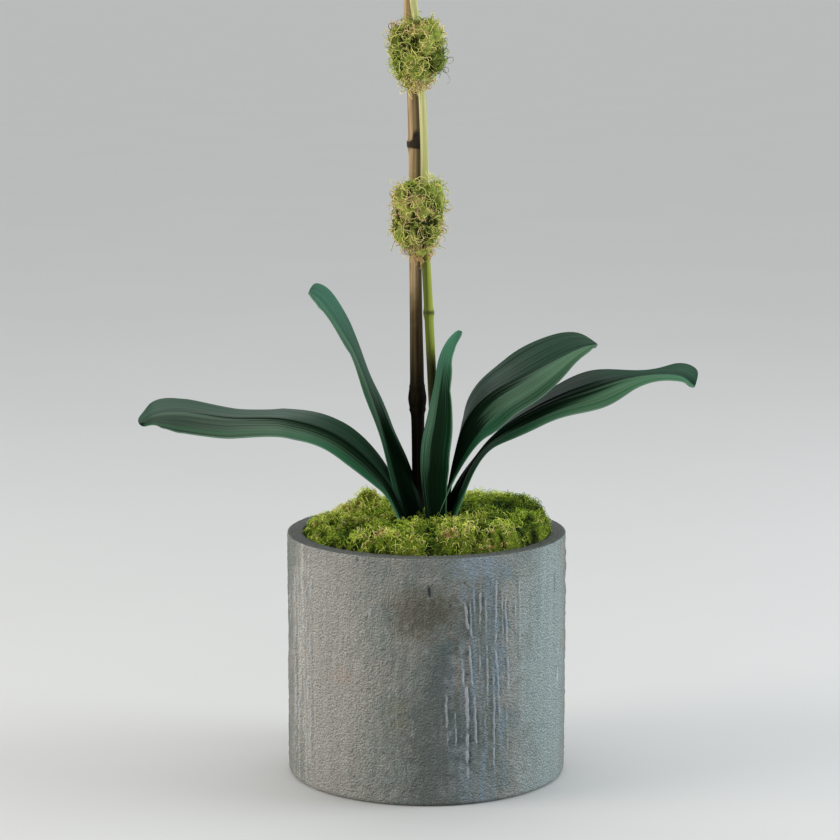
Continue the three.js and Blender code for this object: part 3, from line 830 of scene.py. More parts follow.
def thread_rings(paths, radius):
    """Three points round every joint of every thread. The threads thin out towards their tips."""
    along = unit(np.gradient(paths, axis=1))
    spoke = unit(np.cross(along, SKEW))
    other = np.cross(along, spoke)
    taper = np.linspace(1, THREAD_TIP, paths.shape[1])[:, None, None]
    turn = circle(3)[:, None]
    around = spoke[:, :, None] * np.cos(turn) + other[:, :, None] * np.sin(turn)
    return paths[:, :, None] + radius[:, None, None, None] * taper * around


def add_threads(body, paths, radius, tint):
    """Adds the threads to a body, each closed at both ends, with marks for tint and closeness to the tip."""
    rings = thread_rings(paths, radius)
    threads, joints = rings.shape[:2]
    last = 3 * (joints - 1)
    first = body.count + np.arange(threads)[:, None, None] * 3 * joints
    quads = (first + np.array(ring_faces(joints, 3))).reshape(-1, 4).tolist()
    ends = (first + np.array([[2, 1, 0], [last, last + 1, last + 2]])).reshape(-1, 3).tolist()
    body.add(rings, quads + ends, {"tint": tint[:, None, None], "tip": np.linspace(0, 1, joints)[:, None]})


# %% Threads over the cushion
LAYERS = {
    # lowest and highest place over the cushion in mm, thickness in mm, seed
    "moss_threads_low": (-0.5, 0.6, 0.34, 41),
    "moss_threads_high": (0.3, 1.7, 0.27, 42),
}
THREADS = 4100
THREAD_JOINTS = 7
RIM_LEVEL = 157.5 * MM  # over this height the threads may lean out over the pot's rim
LEAN_OUT = 1.015  # how far out, as a share of the moss's radius
STAY_IN = 0.985
SETTLE = 3 * MM  # a thread this far out of its layer is pulled back as strongly as it heads on


def moss_tint(x, y, chance):
    """0 is dark green, 0.5 fresh green, 0.8 yellow-green and 1 straw. Straw gathers at the front edge."""
    gap, clump = clumps(x, y)
    edge = np.clip((np.hypot(x, y) / MOSS_RADIUS - 0.78) / 0.22, 0, 1)
    front = np.clip(-y / MOSS_RADIUS, 0, 1)
    straw = edge * (0.06 + 0.14 * front + 0.48 * hump(x / MM, 46, 20) * front)
    # Painted shade: threads on the right away from the front, and threads in the gaps between clumps, get a
    # darker tint.
    shade = 0.2 * soft_step(x / MM, 5, 45) * (1 - front)
    tint = 0.54 + 0.2 * clump + straw - shade - 0.55 * soft_step(gap, 0.6, 0.95)
    for hollow_x, hollow_y in ((-27, -60), (14, -68)):
        tint = tint + 0.6 * hump(x / MM, hollow_x, 5) * hump(y / MM, hollow_y, 5)
    return np.clip(tint + chance.normal(0, 0.16, x.shape), 0, 1)


def build_moss_threads(name, material):
    low, high, thickness, seed = LAYERS[name]
    chance = np.random.default_rng(seed)
    radius = MOSS_RADIUS * np.sqrt(chance.uniform(0.004, 1.08, THREADS)).clip(0, 0.998)
    turn = chance.uniform(0, 2 * np.pi, THREADS)
    x = radius * np.cos(turn)
    y = radius * np.sin(turn)
    sink = np.where(radius > 0.95 * MOSS_RADIUS, chance.uniform(0, 1, THREADS) ** 1.5, 0)
    sink = sink * np.clip(moss_top(x, y) - MOSS_EDGE * MM, 0, 8 * MM)
    roots = np.stack([x, y, moss_top(x, y) + dome(x, y) - sink - ROOT_SINK], axis=1)
    layer = chance.uniform(low, high, THREADS) * MM + dome(x, y) - sink
    heading = unit(chance.normal(size=(THREADS, 3)) * (1, 1, 0.4) + (0, 0, 0.25))

    def steer(points):
        over = points[:, 2] - moss_top(points[:, 0], points[:, 1])
        pull = np.zeros_like(points)
        pull[:, 2] = (layer - over) / SETTLE
        reach = np.hypot(points[:, 0], points[:, 1])
        limit = MOSS_RADIUS * np.where(points[:, 2] > RIM_LEVEL, LEAN_OUT, STAY_IN)
        outside = np.clip((reach - limit) / (1.5 * MM), 0, 1.5)[:, None]
        pull[:, :2] -= points[:, :2] / reach[:, None] * outside
        return pull

    step = chance.uniform(0.8, 1.4, THREADS) * MM
    curl = chance.uniform(0.4, 1.2, THREADS)
    paths = grow_threads(roots, heading, step, THREAD_JOINTS, curl, steer, chance)
    body = Body()
    add_threads(body, paths, chance.uniform(0.55, 1.0, THREADS) * thickness * MM, moss_tint(x, y, chance))
    make_piece(name, body, material, "moss")


# %% Moss finishes
def moss_thread_finish(name, stops, painted_tip_light):
    finish = Finish(name, Specular_IOR_Level=0.2)
    place = finish.place()
    fleck = finish.noise(place, 900.0, 2.0, 0.5)
    colour = finish.ramp(finish.mark("tint") + (fleck - 0.5) * 0.3, stops)
    # Painted shade and light: each thread is darker at its root, down in the mat, and lighter towards its
    # tip.
    colour = finish.shade(colour, 0.55 + finish.mark("tip") * painted_tip_light)
    return finish.wear(colour, 0.75 + (fleck - 0.5) * 0.2, fleck, 0.2 * MM)


def moss_cushion_finish():
    finish = Finish("moss cushion", Specular_IOR_Level=0.1)
    place = finish.place()
    bend = finish.noise(place, 220.0, 2.0, 0.5) * 0.012
    fibre = finish.noise(place + bend, 1150.0, 4.0, 0.75)
    clump = finish.noise(place, 160.0, 4.0, 0.6)
    leafy = finish.mix((0.06, 0.11, 0.008), (0.38, 0.5, 0.04), finish.step(fibre, 0.42, 0.6))
    leafy = finish.mix(leafy, (0.2, 0.17, 0.04), finish.step(finish.mark("tint") + clump, 0.7, 1.4) * 0.5)
    # Painted shade: the hollows between clumps and the gaps between fibres are nearly black.
    hollow_shade = finish.step(finish.mark("gap") + (clump - 0.5) * 0.9, 0.6, 0.95)
    colour = finish.mix(leafy, (0.006, 0.01, 0.002), hollow_shade * 0.95)
    colour = finish.mix(colour, (0.01, 0.016, 0.003), 1 - finish.step(fibre, 0.3, 0.47))
    return finish.wear(colour, 0.9 + (fibre - 0.5) * 0.1, fibre + clump, 3 * MM)


MOSS_STOPS = [
    (0.0, (0.018, 0.04, 0.006)),
    (0.26, (0.12, 0.22, 0.015)),
    (0.5, (0.46, 0.64, 0.045)),
    (0.7, (0.8, 0.86, 0.15)),
    (0.88, (0.92, 0.8, 0.36)),
    (1.0, (0.42, 0.22, 0.08)),
]
moss_thread = moss_thread_finish("moss threads", MOSS_STOPS, 0.95)
build_moss_cushion(moss_cushion_finish())
for layer_name in LAYERS:
    build_moss_threads(layer_name, moss_thread)

# %% [markdown]
# ## Leaves
#
# A moth orchid's leaf is a thick strap with a groove along its midrib and a keel under it, many fine veins
# that run its whole length, and a thin pale margin. Each leaf rolls about its midrib in its own way, so two
# leaves of one shape would never look right. A leaf is therefore described by its midrib, how it rolls and
# how far its two halves fold up, and the blade is a closed loop of points at every station along the
# midrib.

# %% The five leaves
LEAF_THICKNESS = 1.7
LEAF_EDGE = 0.8
LEAF_BOW = 0.1
LEAVES = {
    "leaf_centre": {
        "midrib": [(3, -11, 160.4), (-1, -14, 192), (-1, -21, 213), (3, -22, 233), (7, -19, 251),
                   (10, -19, 268), (15, -20, 279), (22, -20, 286)],
        "across": 120, "half": 26, "base": 0.45, "widest": 0.52, "tip": 2.2,
        "roll": [9, 9, 19, 29, 26, 21], "fold": [45, 33, 19, 13, 5],
    },
    "leaf_left_long": {
        "midrib": [(-13, -12, 160.4), (-26, -7, 190), (-54, -18, 219), (-86, -32, 233), (-122, -36, 235),
                   (-151, -39, 239), (-168, -43, 238), (-178, -45, 232)],
        "across": 75, "half": 25.5, "base": 0.45, "widest": 0.6, "tip": 1.7,
        "roll": [-8, 10, 9, 12, 21, 31], "fold": [0, -4, -9, -7, 1],
    },
    "leaf_right_broad": {
        "midrib": [(9, -2, 160.4), (17, -9, 204), (25, -7, 228), (39, -3, 243), (62, 4, 255), (83, 12, 265),
                   (98, 17, 271), (109, 19, 273)],
        "across": -82, "half": 26, "base": 0.45, "widest": 0.45, "tip": 2.1,
        "roll": [26, -7, -23, -26, -19, -7], "fold": [8, -22, -8, 13, 13],
    },
    "leaf_right_long": {
        "midrib": [(13, -6, 160.4), (28, -6, 199), (45, -2, 220), (72, -1, 236), (100, 0, 247), (128, 1, 255),
                   (157, 0, 256), (170, -1, 249)],
        "across": -87, "half": 26, "base": 0.45, "widest": 0.64, "tip": 3,
        "roll": [-17, 2, -10, -18, -1, -28], "fold": [10, -12, -5, -4, 21],
    },
    "leaf_left_upright": {
        "midrib": [(-9, 2, 160.4), (-20, 10, 198), (-29, 17, 223), (-38, 25, 246), (-47, 31, 267),
                   (-57, 30, 284), (-67, 31, 299), (-75, 29, 306)],
        "across": 60, "half": 24.5, "base": 0.45, "widest": 0.6, "tip": 2.5,
        "roll": [13, -11, -21, -22, -14, -6], "fold": [12, 5, 2, 8, 6],
    },
}


def blade_width(shape, t):
    """Half width at t: it widens from the base and rounds off to the tip."""
    rise = np.sin(np.pi / 2 * np.clip(t / shape["widest"], 0, 1)) ** 1.3
    fall = np.clip((t - shape["widest"]) / (1 - shape["widest"]), 0, 1) ** shape["tip"]
    opening = shape["base"] + (1 - shape["base"]) * rise
    return shape["half"] * np.where(t < shape["widest"], opening, np.sqrt(np.maximum(0, 1 - fall)))


# %% [markdown]
# The points of one loop run across the upper face and back under it. They lie closer together at the
# margins, so that the edge can be round, and the two faces meet there without a seam.

# %% Loops of a thin blade
def blade_columns(count):
    """Places across a blade from -1 to 1, closer together at its margins."""
    s = np.linspace(-1, 1, count)
    return 0.35 * s + 0.65 * np.sin(np.pi / 2 * s)


def round_the_blade(a):
    """The same places for every point of a loop, over the upper face and back under it."""
    return np.concatenate([a, a[-2:0:-1]])


def blade_rings(top, normal, depth, a):
    """Closed loops from upper-face points, station by column, and the depth under each of them."""
    rounding = np.sqrt(np.maximum(0, 1 - np.abs(a) ** 18))
    sink = (depth * (1 - rounding) / 2)[..., None]
    upper = top - normal * sink
    lower = top - normal * (depth[..., None] - sink)
    return np.concatenate([upper, lower[:, -2:0:-1]], axis=1)


def add_blade(body, rings, columns, marks):
    """Adds a blade whose ends are closed from the upper face to the lower one."""
    length, around = rings.shape[:2]
    first = body.count
    faces = ring_faces(length, around, first)
    lower = [0] + [around - j for j in range(1, columns - 1)] + [columns - 1]
    for start, flip in ((first, False), (first + (length - 1) * around, True)):
        for j in range(columns - 1):
            face = [start + j, start + lower[j], start + lower[j + 1], start + j + 1]
            face = [p for k, p in enumerate(face) if p not in face[:k]]
            faces.append(face[::-1] if flip else face)
    body.add(rings, faces, marks)


# %% [markdown]
# The leaves aren't one green, and much of their tone is painted light and shade. Dark bands of painted
# shade follow the midrib and thin out towards the tip, the base lies in painted shade and is nearly
# black, the half that faces the viewer is painted lighter and a fresher green, and the other half mirrors
# the grey sky. Where each leaf has its dark band is listed. Places across a leaf go from -1 at the far
# margin over 0 at the midrib to 1 at the viewer's margin, and places along it from 0 at the base to 1 at
# the tip. The mesh only keeps how each tone changes along the leaf. How it changes across is worked out
# by the shader, which is finer.

# %% Light and dark on the leaves
LEAF_TONES = {
    # side: where the viewer is. band: where the dark band of painted shade starts across, and where it
    # ends from base to tip. fade: where it fades along. dusk: where the base lightens along, and the
    # edge of its painted shade across. tip, half, hook: how far the tip turns a lighter teal, how much
    # painted light the viewer's half gets, and how dark the painted shade in the tip's curl is.
    # near, far, sheen: painted lightness of the two halves, for how light falls on them, and strength of
    # the sheen, at base and tip.
    "leaf_centre": {
        "side": -1, "band": (0.3, [1.6, 1.6]), "fade": (0.4, 0.88), "dusk": (0.1, 0.24, 0.5),
        "tip": 0.8, "half": 0, "hook": 0, "near": (0.8, 0.9), "far": (2.4, 1.2), "sheen": (0.5, 0.9),
    },
    "leaf_left_long": {
        "side": -1, "band": (-0.06, [0.5, 0.5, 0.4, 0.15, 0, -0.25]), "fade": (0.3, 0.98),
        "dusk": (0.04, 0.16, 0.5),
        "tip": 0, "half": 0.08, "hook": 1, "near": (1.1, 0.42), "far": (1.4, 1.2), "sheen": (2.2, 1.2),
    },
    "leaf_right_broad": {
        "side": 1, "band": (-0.06, [0.8, 0.7, 0.4, 0.15, 0, -0.15]), "fade": (0.25, 0.85),
        "dusk": (0.16, 0.36, 0.5),
        "tip": 0, "half": 0.75, "hook": 0, "near": (1.3, 1.15), "far": (1.1, 1.1), "sheen": (1.8, 0.6),
    },
    "leaf_right_long": {
        "side": 1, "band": (-0.14, [-0.4, 0.3, 0.6, 0.45, 0.25, 0.05]), "fade": (0.4, 1),
        "dusk": (0.1, 0.24, -0.3),
        "tip": 0.2, "half": 0.25, "hook": 0, "near": (1.3, 1.3), "far": (1.1, 0.8), "sheen": (2, 0.5),
    },
    "leaf_left_upright": {
        "side": -1, "band": (-0.62, [0.26, 0.26]), "fade": (0.22, 0.5), "dusk": (0.16, 0.32, 0.5),
        "tip": 0.6, "half": 0.7, "hook": 0, "near": (1.3, 1.1), "far": (1, 1.1), "sheen": (1, 1.2),
    },
}


def leaf_tones(tones, t):
    """Marks for the tones of a leaf, which only change along it."""
    start, ends = tones["band"]
    dusk_start, dusk_end, dusk_edge = tones["dusk"]
    # band, dusk and curl carry painted shade, and half, near and far carry painted light.
    marks = {
        "band_start": start,
        "band_end": follow(ends, t),
        "band": 1.1 * (1 - soft_step(t, *tones["fade"])),
        "dusk": 1 - soft_step(t, dusk_start, dusk_end),
        "dusk_edge": dusk_edge,
        "curl": tones["hook"] * soft_step(t, 0.95, 0.985),
        "tip": tones["tip"] * soft_step(t, 0.45, 0.95),
        "half": tones["half"] * soft_step(t, 0.12, 0.3),
        "margin": 0.6 * (1 - soft_step(t, 0.25, 0.55)),
    }
    for name in ("near", "far", "sheen"):
        base, tip = tones[name]
        marks[name] = base + (tip - base) * soft_step(t, 0.3, 0.75)
    return marks


# %% Shape of a leaf
STATIONS = 96
COLUMNS = 33


def leaf_rings(leaf, seed, t, a):
    line = Line(leaf["midrib"])
    along = line.along(t)
    heading = math.radians(leaf["across"])
    flat = np.array([math.cos(heading), math.sin(heading), 0.0])
    flat = unit(flat - along * (along @ flat)[:, None])
    flat_normal = np.cross(flat, along)
    roll = np.radians(follow(leaf["roll"], t))[:, None]
    fold = np.radians(follow(leaf["fold"], t))[:, None]
    across = flat * np.cos(roll) + flat_normal * np.sin(roll)
    normal = np.cross(across, along)[:, None, :]
    half = np.maximum(0.5, blade_width(leaf, t))[:, None]
    reach = np.abs(a)
    lift = half * (np.sin(fold) * reach + LEAF_BOW * reach * (1 - reach))
    stout = np.clip(half / 12, 0, 1)
    groove = 0.6 * hump(a, 0, 0.1) * stout
    keel = hump(a, 0, 0.07) * stout
    veins = 0.07 * np.cos(a * 42) * (1 - reach ** 6)
    phase = np.random.default_rng(seed).uniform(0, 6)
    waver = 0.5 * reach ** 4 * np.sin(t[:, None] * 23 + phase) * np.sign(a)
    height = lift - groove + veins + waver
    side = half * np.cos(fold) * a
    top = line.at(t)[:, None] + (across[:, None] * side[..., None] + normal * height[..., None]) * MM
    depth = LEAF_EDGE + (LEAF_THICKNESS - LEAF_EDGE) * (1 - a ** 2) - groove + veins + keel
    return blade_rings(top, normal, depth * np.clip(half / 6, 0.25, 1) * MM, a)


def build_leaf(name, seed, material):
    t = 1 - (1 - np.linspace(0, 1, STATIONS)) ** 1.35
    a = blade_columns(COLUMNS)
    tones = LEAF_TONES[name]
    view = tones["side"] * round_the_blade(a)
    marks = {"along": t[:, None], "view": view, "under": np.arange(len(view)) >= COLUMNS, "number": seed}
    marks.update(leaf_tones(tones, t[:, None]))
    body = Body()
    add_blade(body, leaf_rings(LEAVES[name], seed, t, a), COLUMNS, marks)
    make_piece(name + "_blade", body, material, "leaf", name)


# %% [markdown]
# Leaf skin is satin rather than glossy: it shows a soft grey sheen and no sharp reflection. The sheen is a
# coat over the shader, whose weight falls to nothing where the leaf is dark. Fine streaks run along the
# blade and fray the edges of the dark bands, and the margin is a thin line of clear green.

# %% Leaf skin
def leaf_skin():
    finish = Finish("leaf skin", Specular_IOR_Level=0.0, Coat_Roughness=0.42)
    along = finish.mark("along")
    view = finish.mark("view")
    under = finish.mark("under")
    number = finish.mark("number")
    place = finish.place()
    cloud = finish.noise(place, 45.0, 3.0, 0.5)
    broad = finish.join(view * 11.0 + cloud * 0.4, along * 0.7, number + under * 5.0)
    bands = finish.noise(broad, 1.0, 3.0, 0.6)
    hairs = finish.noise(finish.join(view * 30.0, along * 1.2, number), 1.0, 1.5, 0.6)
    pores = finish.noise(place, 1400.0, 2.0, 0.5)
    near = finish.step(view, -0.05, 0.3)
    edge = finish.maths("ABSOLUTE", view)
    in_margin = finish.step(view - finish.mark("dusk_edge"), 0.0, 0.32)
    band = finish.step(view - finish.mark("band_start"), -0.1, 0.06)
    band = band * (1 - finish.step(view - finish.mark("band_end"), -0.25, 0.35)) * finish.mark("band")
    shadow = band + finish.mark("dusk") * (1 - in_margin * 0.85)
    shadow = shadow + finish.mark("curl") * finish.step(view, 0.05, 0.3)
    dark = finish.step(shadow + (bands - 0.5) * 1.5 + (hairs - 0.5) * 3.2, 0.35, 0.95)

    # Painted light: near and far set how light each half is painted for how light falls on it, and the
    # viewer's half is painted a lighter, fresher green.
    light = finish.mark("far") * (1 - near) + finish.mark("near") * near
    colour = finish.lay(
        finish.mix((0.018, 0.056, 0.03), (0.042, 0.1, 0.05), near),
        ((0.035, 0.08, 0.052), under * 0.5),
        ((0.1, 0.195, 0.115), finish.mark("half") * finish.step(view, 0.0, 0.3) * 0.8),
        ((0.055, 0.21, 0.13), finish.mark("tip") * 0.8),
    )
    # Painted shade: a dark line in the midrib's groove, and the dark bands and base. Painted highlight: a
    # light line beside the midrib, and the pale margin, partly the leaf's own, stronger on the viewer's half.
    colour = finish.lay(
        finish.shade(colour, light * (bands * 1.5 + hairs * 2.2 - 0.85)),
        ((0.003, 0.014, 0.006), finish.bell(view, 0.0, 0.025) * (1 - under) * 0.85),
        ((0.11, 0.19, 0.13), finish.bell(view, 0.14, 0.13) * (1 - under) * 0.28),
        ((0.018, 0.1, 0.038), finish.bell(edge, 0.82, 0.1) * near * 0.6),
        ((0.022, 0.17, 0.07), in_margin * finish.mark("margin")),
        ((0.003, 0.011, 0.004), dark * 0.92),
        ((0.16, 0.3, 0.2), finish.step(edge, 0.955, 0.98) * (0.1 + near * 0.7)),
    )
    coat = (1 - dark) * (0.44 - near * 0.16) * (0.2 + hairs * 1.5) * finish.mark("sheen")
    finish.feed(finish.shader.inputs["Coat Weight"], coat)
    return finish.wear(colour, 0.5 + hairs * 0.2, hairs * 0.8 + pores * 0.2, 0.6 * MM)


leaf_finish = leaf_skin()
for number, leaf_name in enumerate(LEAVES):
    build_leaf(leaf_name, 60 + number, leaf_finish)

# %% [markdown]
# ## Crown
#
# The leaves and the flower stem grow from one short stem, whose roots go down into the bark. Moss and leaf
# bases cover it, so the plain solid stays and gets the look of a fibrous green stem.

# %% Crown finish
def crown_skin():
    finish = Finish("crown skin", Specular_IOR_Level=0.3)
    place = finish.place()
    fibre = finish.noise(place * (1.0, 1.0, 0.15), 700.0, 4.0, 0.6)
    colour = finish.mix((0.035, 0.05, 0.018), (0.13, 0.15, 0.06), finish.step(fibre, 0.35, 0.7))
    return finish.wear(colour, 0.6 + fibre * 0.2, fibre, 0.6 * MM)


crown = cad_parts["crown"]
crown.material_slots[0].material = crown_skin()

# %% [markdown]
# ## Cane
#
# The stake is a thin brown cane. It has a swollen node low down, with a sharp lip above and below, and
# slighter rings further up. It's a rod whose radius follows these nodes, and its colour runs from nearly
# black at the moss through dark brown to tan, with fine streaks along the grain.

# %% The cane's mesh
CANE_PATH = [(-5, 18, 40), (-5.4, 18, 200), (-6, 17, 250), (-7, 16, 314), (-7.8, 15, 400), (-10.4, 14, 478),
             (-14, 13, 580)]
CANE_NODES = [
    # height, swell and reach in mm
    (238, 1.5, 7), (252, 0.45, 28), (246, 0.3, 0.8), (230.5, 0.6, 1.2),
    (400.5, 1.0, 3.0), (402.5, 0.3, 0.7), (520, 0.7, 2.4), (522.5, 0.4, 0.7),
]
CANE_RADIUS = 4.3
CANE_TAPER = 0.7
cane_line = Line(CANE_PATH)


def cane_radius(share, centres):
    radius = CANE_RADIUS - CANE_TAPER * share
    height = centres[:, 2] / MM
    for level, swell, reach in CANE_NODES:
        radius = radius + swell * hump(height, level, reach)
    return radius * MM


def right_side(rings):
    """From -1 on the left of a rod, as the viewer sees it, to 1 on its right."""
    away = rings[..., 0] - rings[..., 0].mean(axis=1, keepdims=True)
    return away / np.abs(away).max(axis=1, keepdims=True)


def build_cane(material, steps=420, sides=22):
    rings = rod_rings(cane_line, cane_radius, np.linspace(0, 1, steps), sides)
    middle = rings.mean(axis=1, keepdims=True)
    turn = circle(sides)
    height = middle[..., 2] / MM
    flutes = 0.012 * np.sin(turn * 7 + height * 0.02) + 0.012 * np.sin(turn * 3 - height * 0.05)
    rings = middle + (rings - middle) * (1 + flutes)[..., None]
    body = Body()
    body.add_rings(rings, {"side": right_side(rings)})
    make_piece("cane_stake", body, material, "cane", "cane")


# %% Cane bark
def cane_bark():
    finish = Finish("cane bark", Specular_IOR_Level=0.06)
    place = finish.place()
    level = finish.part(place, 2) * 1000.0
    side = finish.mark("side")
    grain = finish.noise(place * (900.0, 900.0, 14.0), 1.0, 4.0, 0.6)
    blotch = finish.noise(place, 60.0, 3.0, 0.5)
    tan = finish.mix((0.26, 0.17, 0.08), (0.57, 0.42, 0.24), finish.step(grain, 0.35, 0.68))
    brown = finish.mix((0.03, 0.02, 0.007), (0.13, 0.09, 0.042), finish.step(grain, 0.35, 0.68))
    colour = finish.mix(brown, tan, finish.step(level + (blotch - 0.5) * 50.0, 282.0, 325.0))
    # Painted shadow: the cane's right side, where the flower stem shades it, is darkened.
    stem_shadow = finish.step(side + (grain - 0.5) * 0.8, -0.1, 0.7)
    colour = finish.mix(colour, (0.03, 0.018, 0.006), stem_shadow * 0.88)
    colour = finish.shade(colour, 0.12 + finish.step(level + (blotch - 0.5) * 20.0, 232.0, 290.0) * 0.88)
    rings = finish.bell(level, 404.0, 6.0) * finish.step(side + blotch, -0.2, 0.7)
    rings = rings + finish.bell(level, 520.0, 3.5) + finish.bell(level, 400.5, 2.6)
    colour = finish.mix(colour, (0.012, 0.01, 0.01), finish.step(rings, 0.1, 0.7) * 0.92)
    return finish.wear(colour, 0.5 + grain * 0.2, grain, 0.4 * MM)


build_cane(cane_bark())

# %% [markdown]
# ## Flower stem
#
# The flower stem leans on the cane, then arches over to the left and hangs down with the weight of its
# blooms. Each bloom and bud has a stalk that leaves the stem on alternate sides. The stalks are placed by
# the same rule as the solids: a share of the stem's length, then so far forward and so far aside.

# %% The stem and where blooms hang
SPIKE_PATH = [
    (6, 7, 160.4), (5.5, 8, 205), (3.5, 7.5, 250), (1, 6.5, 302), (-1.4, 5.5, 350),
    (-1.5, 5, 400), (-4.2, 4, 455), (-8.3, 3, 490), (-13, 2, 525), (-19, 0, 560),
    (-28, -2, 597), (-42, -5, 634), (-64, -10, 666), (-93, -15, 689), (-127, -21, 699),
    (-162, -27, 693), (-192, -32, 672), (-214, -37, 642), (-228, -41, 608), (-236, -45, 574),
]
SPIKE_NODES = [0.173, 0.365, 0.481]
STEM_RADIUS = 3
STEM_TIP = 1.5
BLOOMS = 7
BUDS = 4
BLOOM_SIZE = 43  # reach of the first bloom's petals, in mm. The others are smaller towards the tip.
BUD_SIZE = 6.4
CLEARANCE = 0.35
spike_line = Line(SPIKE_PATH)


def hang_at(share, side, forward, aside, nod):
    """Start and end of a stalk, in mm, and the way that its flower faces."""
    t = spike_line.spread(share)
    start = spike_line.at(t) / MM
    facing = unit(np.array([-0.16 + 0.1 * side, -1, nod]))
    out = unit(np.cross(spike_line.along(t), facing)) * side
    return {"start": start, "end": start + facing * forward + out * aside, "facing": facing}


def bloom_places():
    places = []
    for k in range(BLOOMS):
        side = 1 if k % 2 == 0 else -1
        place = hang_at(0.622 + 0.0435 * k, side, (22, 44)[k % 2], (27, 19)[k % 2], -0.12 - 0.02 * k)
        place["size"] = BLOOM_SIZE * (1 - 0.042 * k)
        places.append(place)
    return places


def bud_places():
    places = []
    for k in range(BUDS):
        side = -1 if k % 2 == 0 else 1
        place = hang_at(0.925 + 0.0235 * k, side, 8 - k, 15 - 2 * k, -0.5)
        place["size"] = BUD_SIZE * 0.82 ** k
        places.append(place)
    return places


print(len(bloom_places()), "blooms and", len(bud_places()), "buds hang from the stem")


# %% The stem's mesh
def spike_radius(share, centres):
    slim = soft_step(share, 0.2, 0.3) * (1 - soft_step(share, 0.4, 0.8))
    radius = STEM_RADIUS + (STEM_TIP - STEM_RADIUS) * share ** 1.6 - 0.3 * slim
    for node in SPIKE_NODES:
        radius = radius + 0.7 * hump(share, node, 0.0035)
    return radius * MM


def stalk_line(place, set_back):
    seat = place["end"] - place["facing"] * set_back
    elbow = place["start"] + (seat - place["start"]) * 0.55 - place["facing"] * 3
    return Line([place["start"], elbow, seat])


def stalk_radius(share, centres):
    return (1.25 + 0.45 * (1 - share) ** 3 + 0.5 * share ** 6) * MM


def build_spike(material):
    body = Body()
    rings = rod_rings(spike_line, spike_radius, np.linspace(0, 1, 420), 16)
    body.add_rings(rings, {"side": right_side(rings)})
    stalks = [(place, place["size"] * 0.12 + CLEARANCE) for place in bloom_places()]
    stalks += [(place, place["size"] * 1.05 + 3 * CLEARANCE) for place in bud_places()]
    for place, set_back in stalks:
        line = stalk_line(place, set_back)
        body.add_rings(rod_rings(line, stalk_radius, np.linspace(0, 1, 16), 10), {"side": 1})
    make_piece("flower_stem", body, material, "spike", "spike")


# %% Stem skin
def stem_skin():
    finish = Finish("stem skin", Specular_IOR_Level=0.15)
    place = finish.place()
    level = finish.part(place, 2) * 1000.0
    side = finish.mark("side")
    grain = finish.noise(place * (700.0, 700.0, 11.0), 1.0, 3.0, 0.55)
    blotch = finish.noise(place, 50.0, 3.0, 0.5)
    pale = finish.mix((0.4, 0.42, 0.13), (0.64, 0.61, 0.29), finish.step(grain, 0.3, 0.66))
    lit = finish.step(side + (grain - 0.5) * 1.2, -0.3, 0.4)
    green = finish.mix((0.09, 0.12, 0.012), (0.32, 0.36, 0.05), lit)
    olive = finish.mix((0.012, 0.012, 0.002), (0.07, 0.065, 0.012), finish.step(grain, 0.35, 0.65))
    colour = finish.mix(green, pale, finish.step(level, 325.0, 420.0))
    colour = finish.mix(olive, colour, finish.step(level + (blotch - 0.5) * 20.0, 258.0, 282.0))
    colour = finish.mix(colour, (0.04, 0.045, 0.01), finish.bell(level, 295.0, 1.6) * 0.85)
    return finish.wear(colour, 0.45 + grain * 0.15, grain, 0.25 * MM)


build_spike(stem_skin())

# %% [markdown]
# ## Moss ties
#
# Tufts of dried moss hide the wire that holds stem and cane together. Each is a lumpy core with threads
# wound round it, some of which stick out as whiskers. They are grown as the moss in the pot is, but the
# layer that they keep to is a shell round the core.

# %% The ties
TIES = [
    {"z": 354, "x": -5.5, "half": 17, "tall": 25},
    {"z": 456.5, "x": -6.8, "half": 16.5, "tall": 22},
    {"z": 556, "x": -14.5, "half": 16, "tall": 22},
]
TIE_Y = 9
TIE_THREADS = 1000
TIE_JOINTS = 8
TIE_CORE = 0.88  # size of a tie's core, as a share of the tie's
WHISKERS = 0.06  # share of the threads that stick out
EARS = [
    # directions in which tufts stand out of each tie
    [(0.55, -0.3, 0.8), (-0.75, -0.3, -0.6), (-0.7, -0.2, 0.7)],
    [(-0.8, -0.2, 0.6), (0.6, -0.2, 0.8), (0.96, -0.2, -0.15), (-0.3, -0.9, -0.3)],
    [(-0.7, 0.2, 0.7), (0.8, -0.4, 0.5), (0.2, 0.9, -0.4)],
]


def tie_surface(directions, tie, number, scale):
    """Points on the lumpy core, in mm, for unit directions."""
    x, y, z = directions[..., 0], directions[..., 1], directions[..., 2]
    girth = 1 + 0.16 * z - 0.18 * np.maximum(0, -z) ** 2
    lumps = np.sin(5 * x + 3 * z + number) * np.cos(4 * y - 5 * z + 2 * number)
    lump = (1 + 1.6 / tie["half"] * lumps) * scale
    side = tie["half"] * girth * lump * (1 - np.minimum(z ** 2, 0.97)) ** -0.16
    return np.stack([tie["x"] + x * side, TIE_Y + y * side, tie["z"] + z * tie["tall"] * lump], axis=-1)


def tie_bumps(directions, number):
    """Rise of the tufts that a tie is bundled from, as a share of its size, and the tint of each tuft."""
    chance = np.random.default_rng(90 + number)
    tufts = unit(chance.normal(size=(34, 3)))
    closeness = directions @ tufts.T
    away = np.arccos(np.clip(np.sort(closeness, axis=-1), -1, 1))
    gap = away[..., -1] / away[..., -2]
    tint = chance.uniform(-1, 1, len(tufts))[np.argmax(closeness, axis=-1)]
    ears = soft_step(directions @ unit(np.array(EARS[number])).T, 0.84, 0.99).sum(axis=-1)
    return 0.06 - 0.2 * soft_step(gap, 0.5, 1.0) + 0.13 * ears, tint


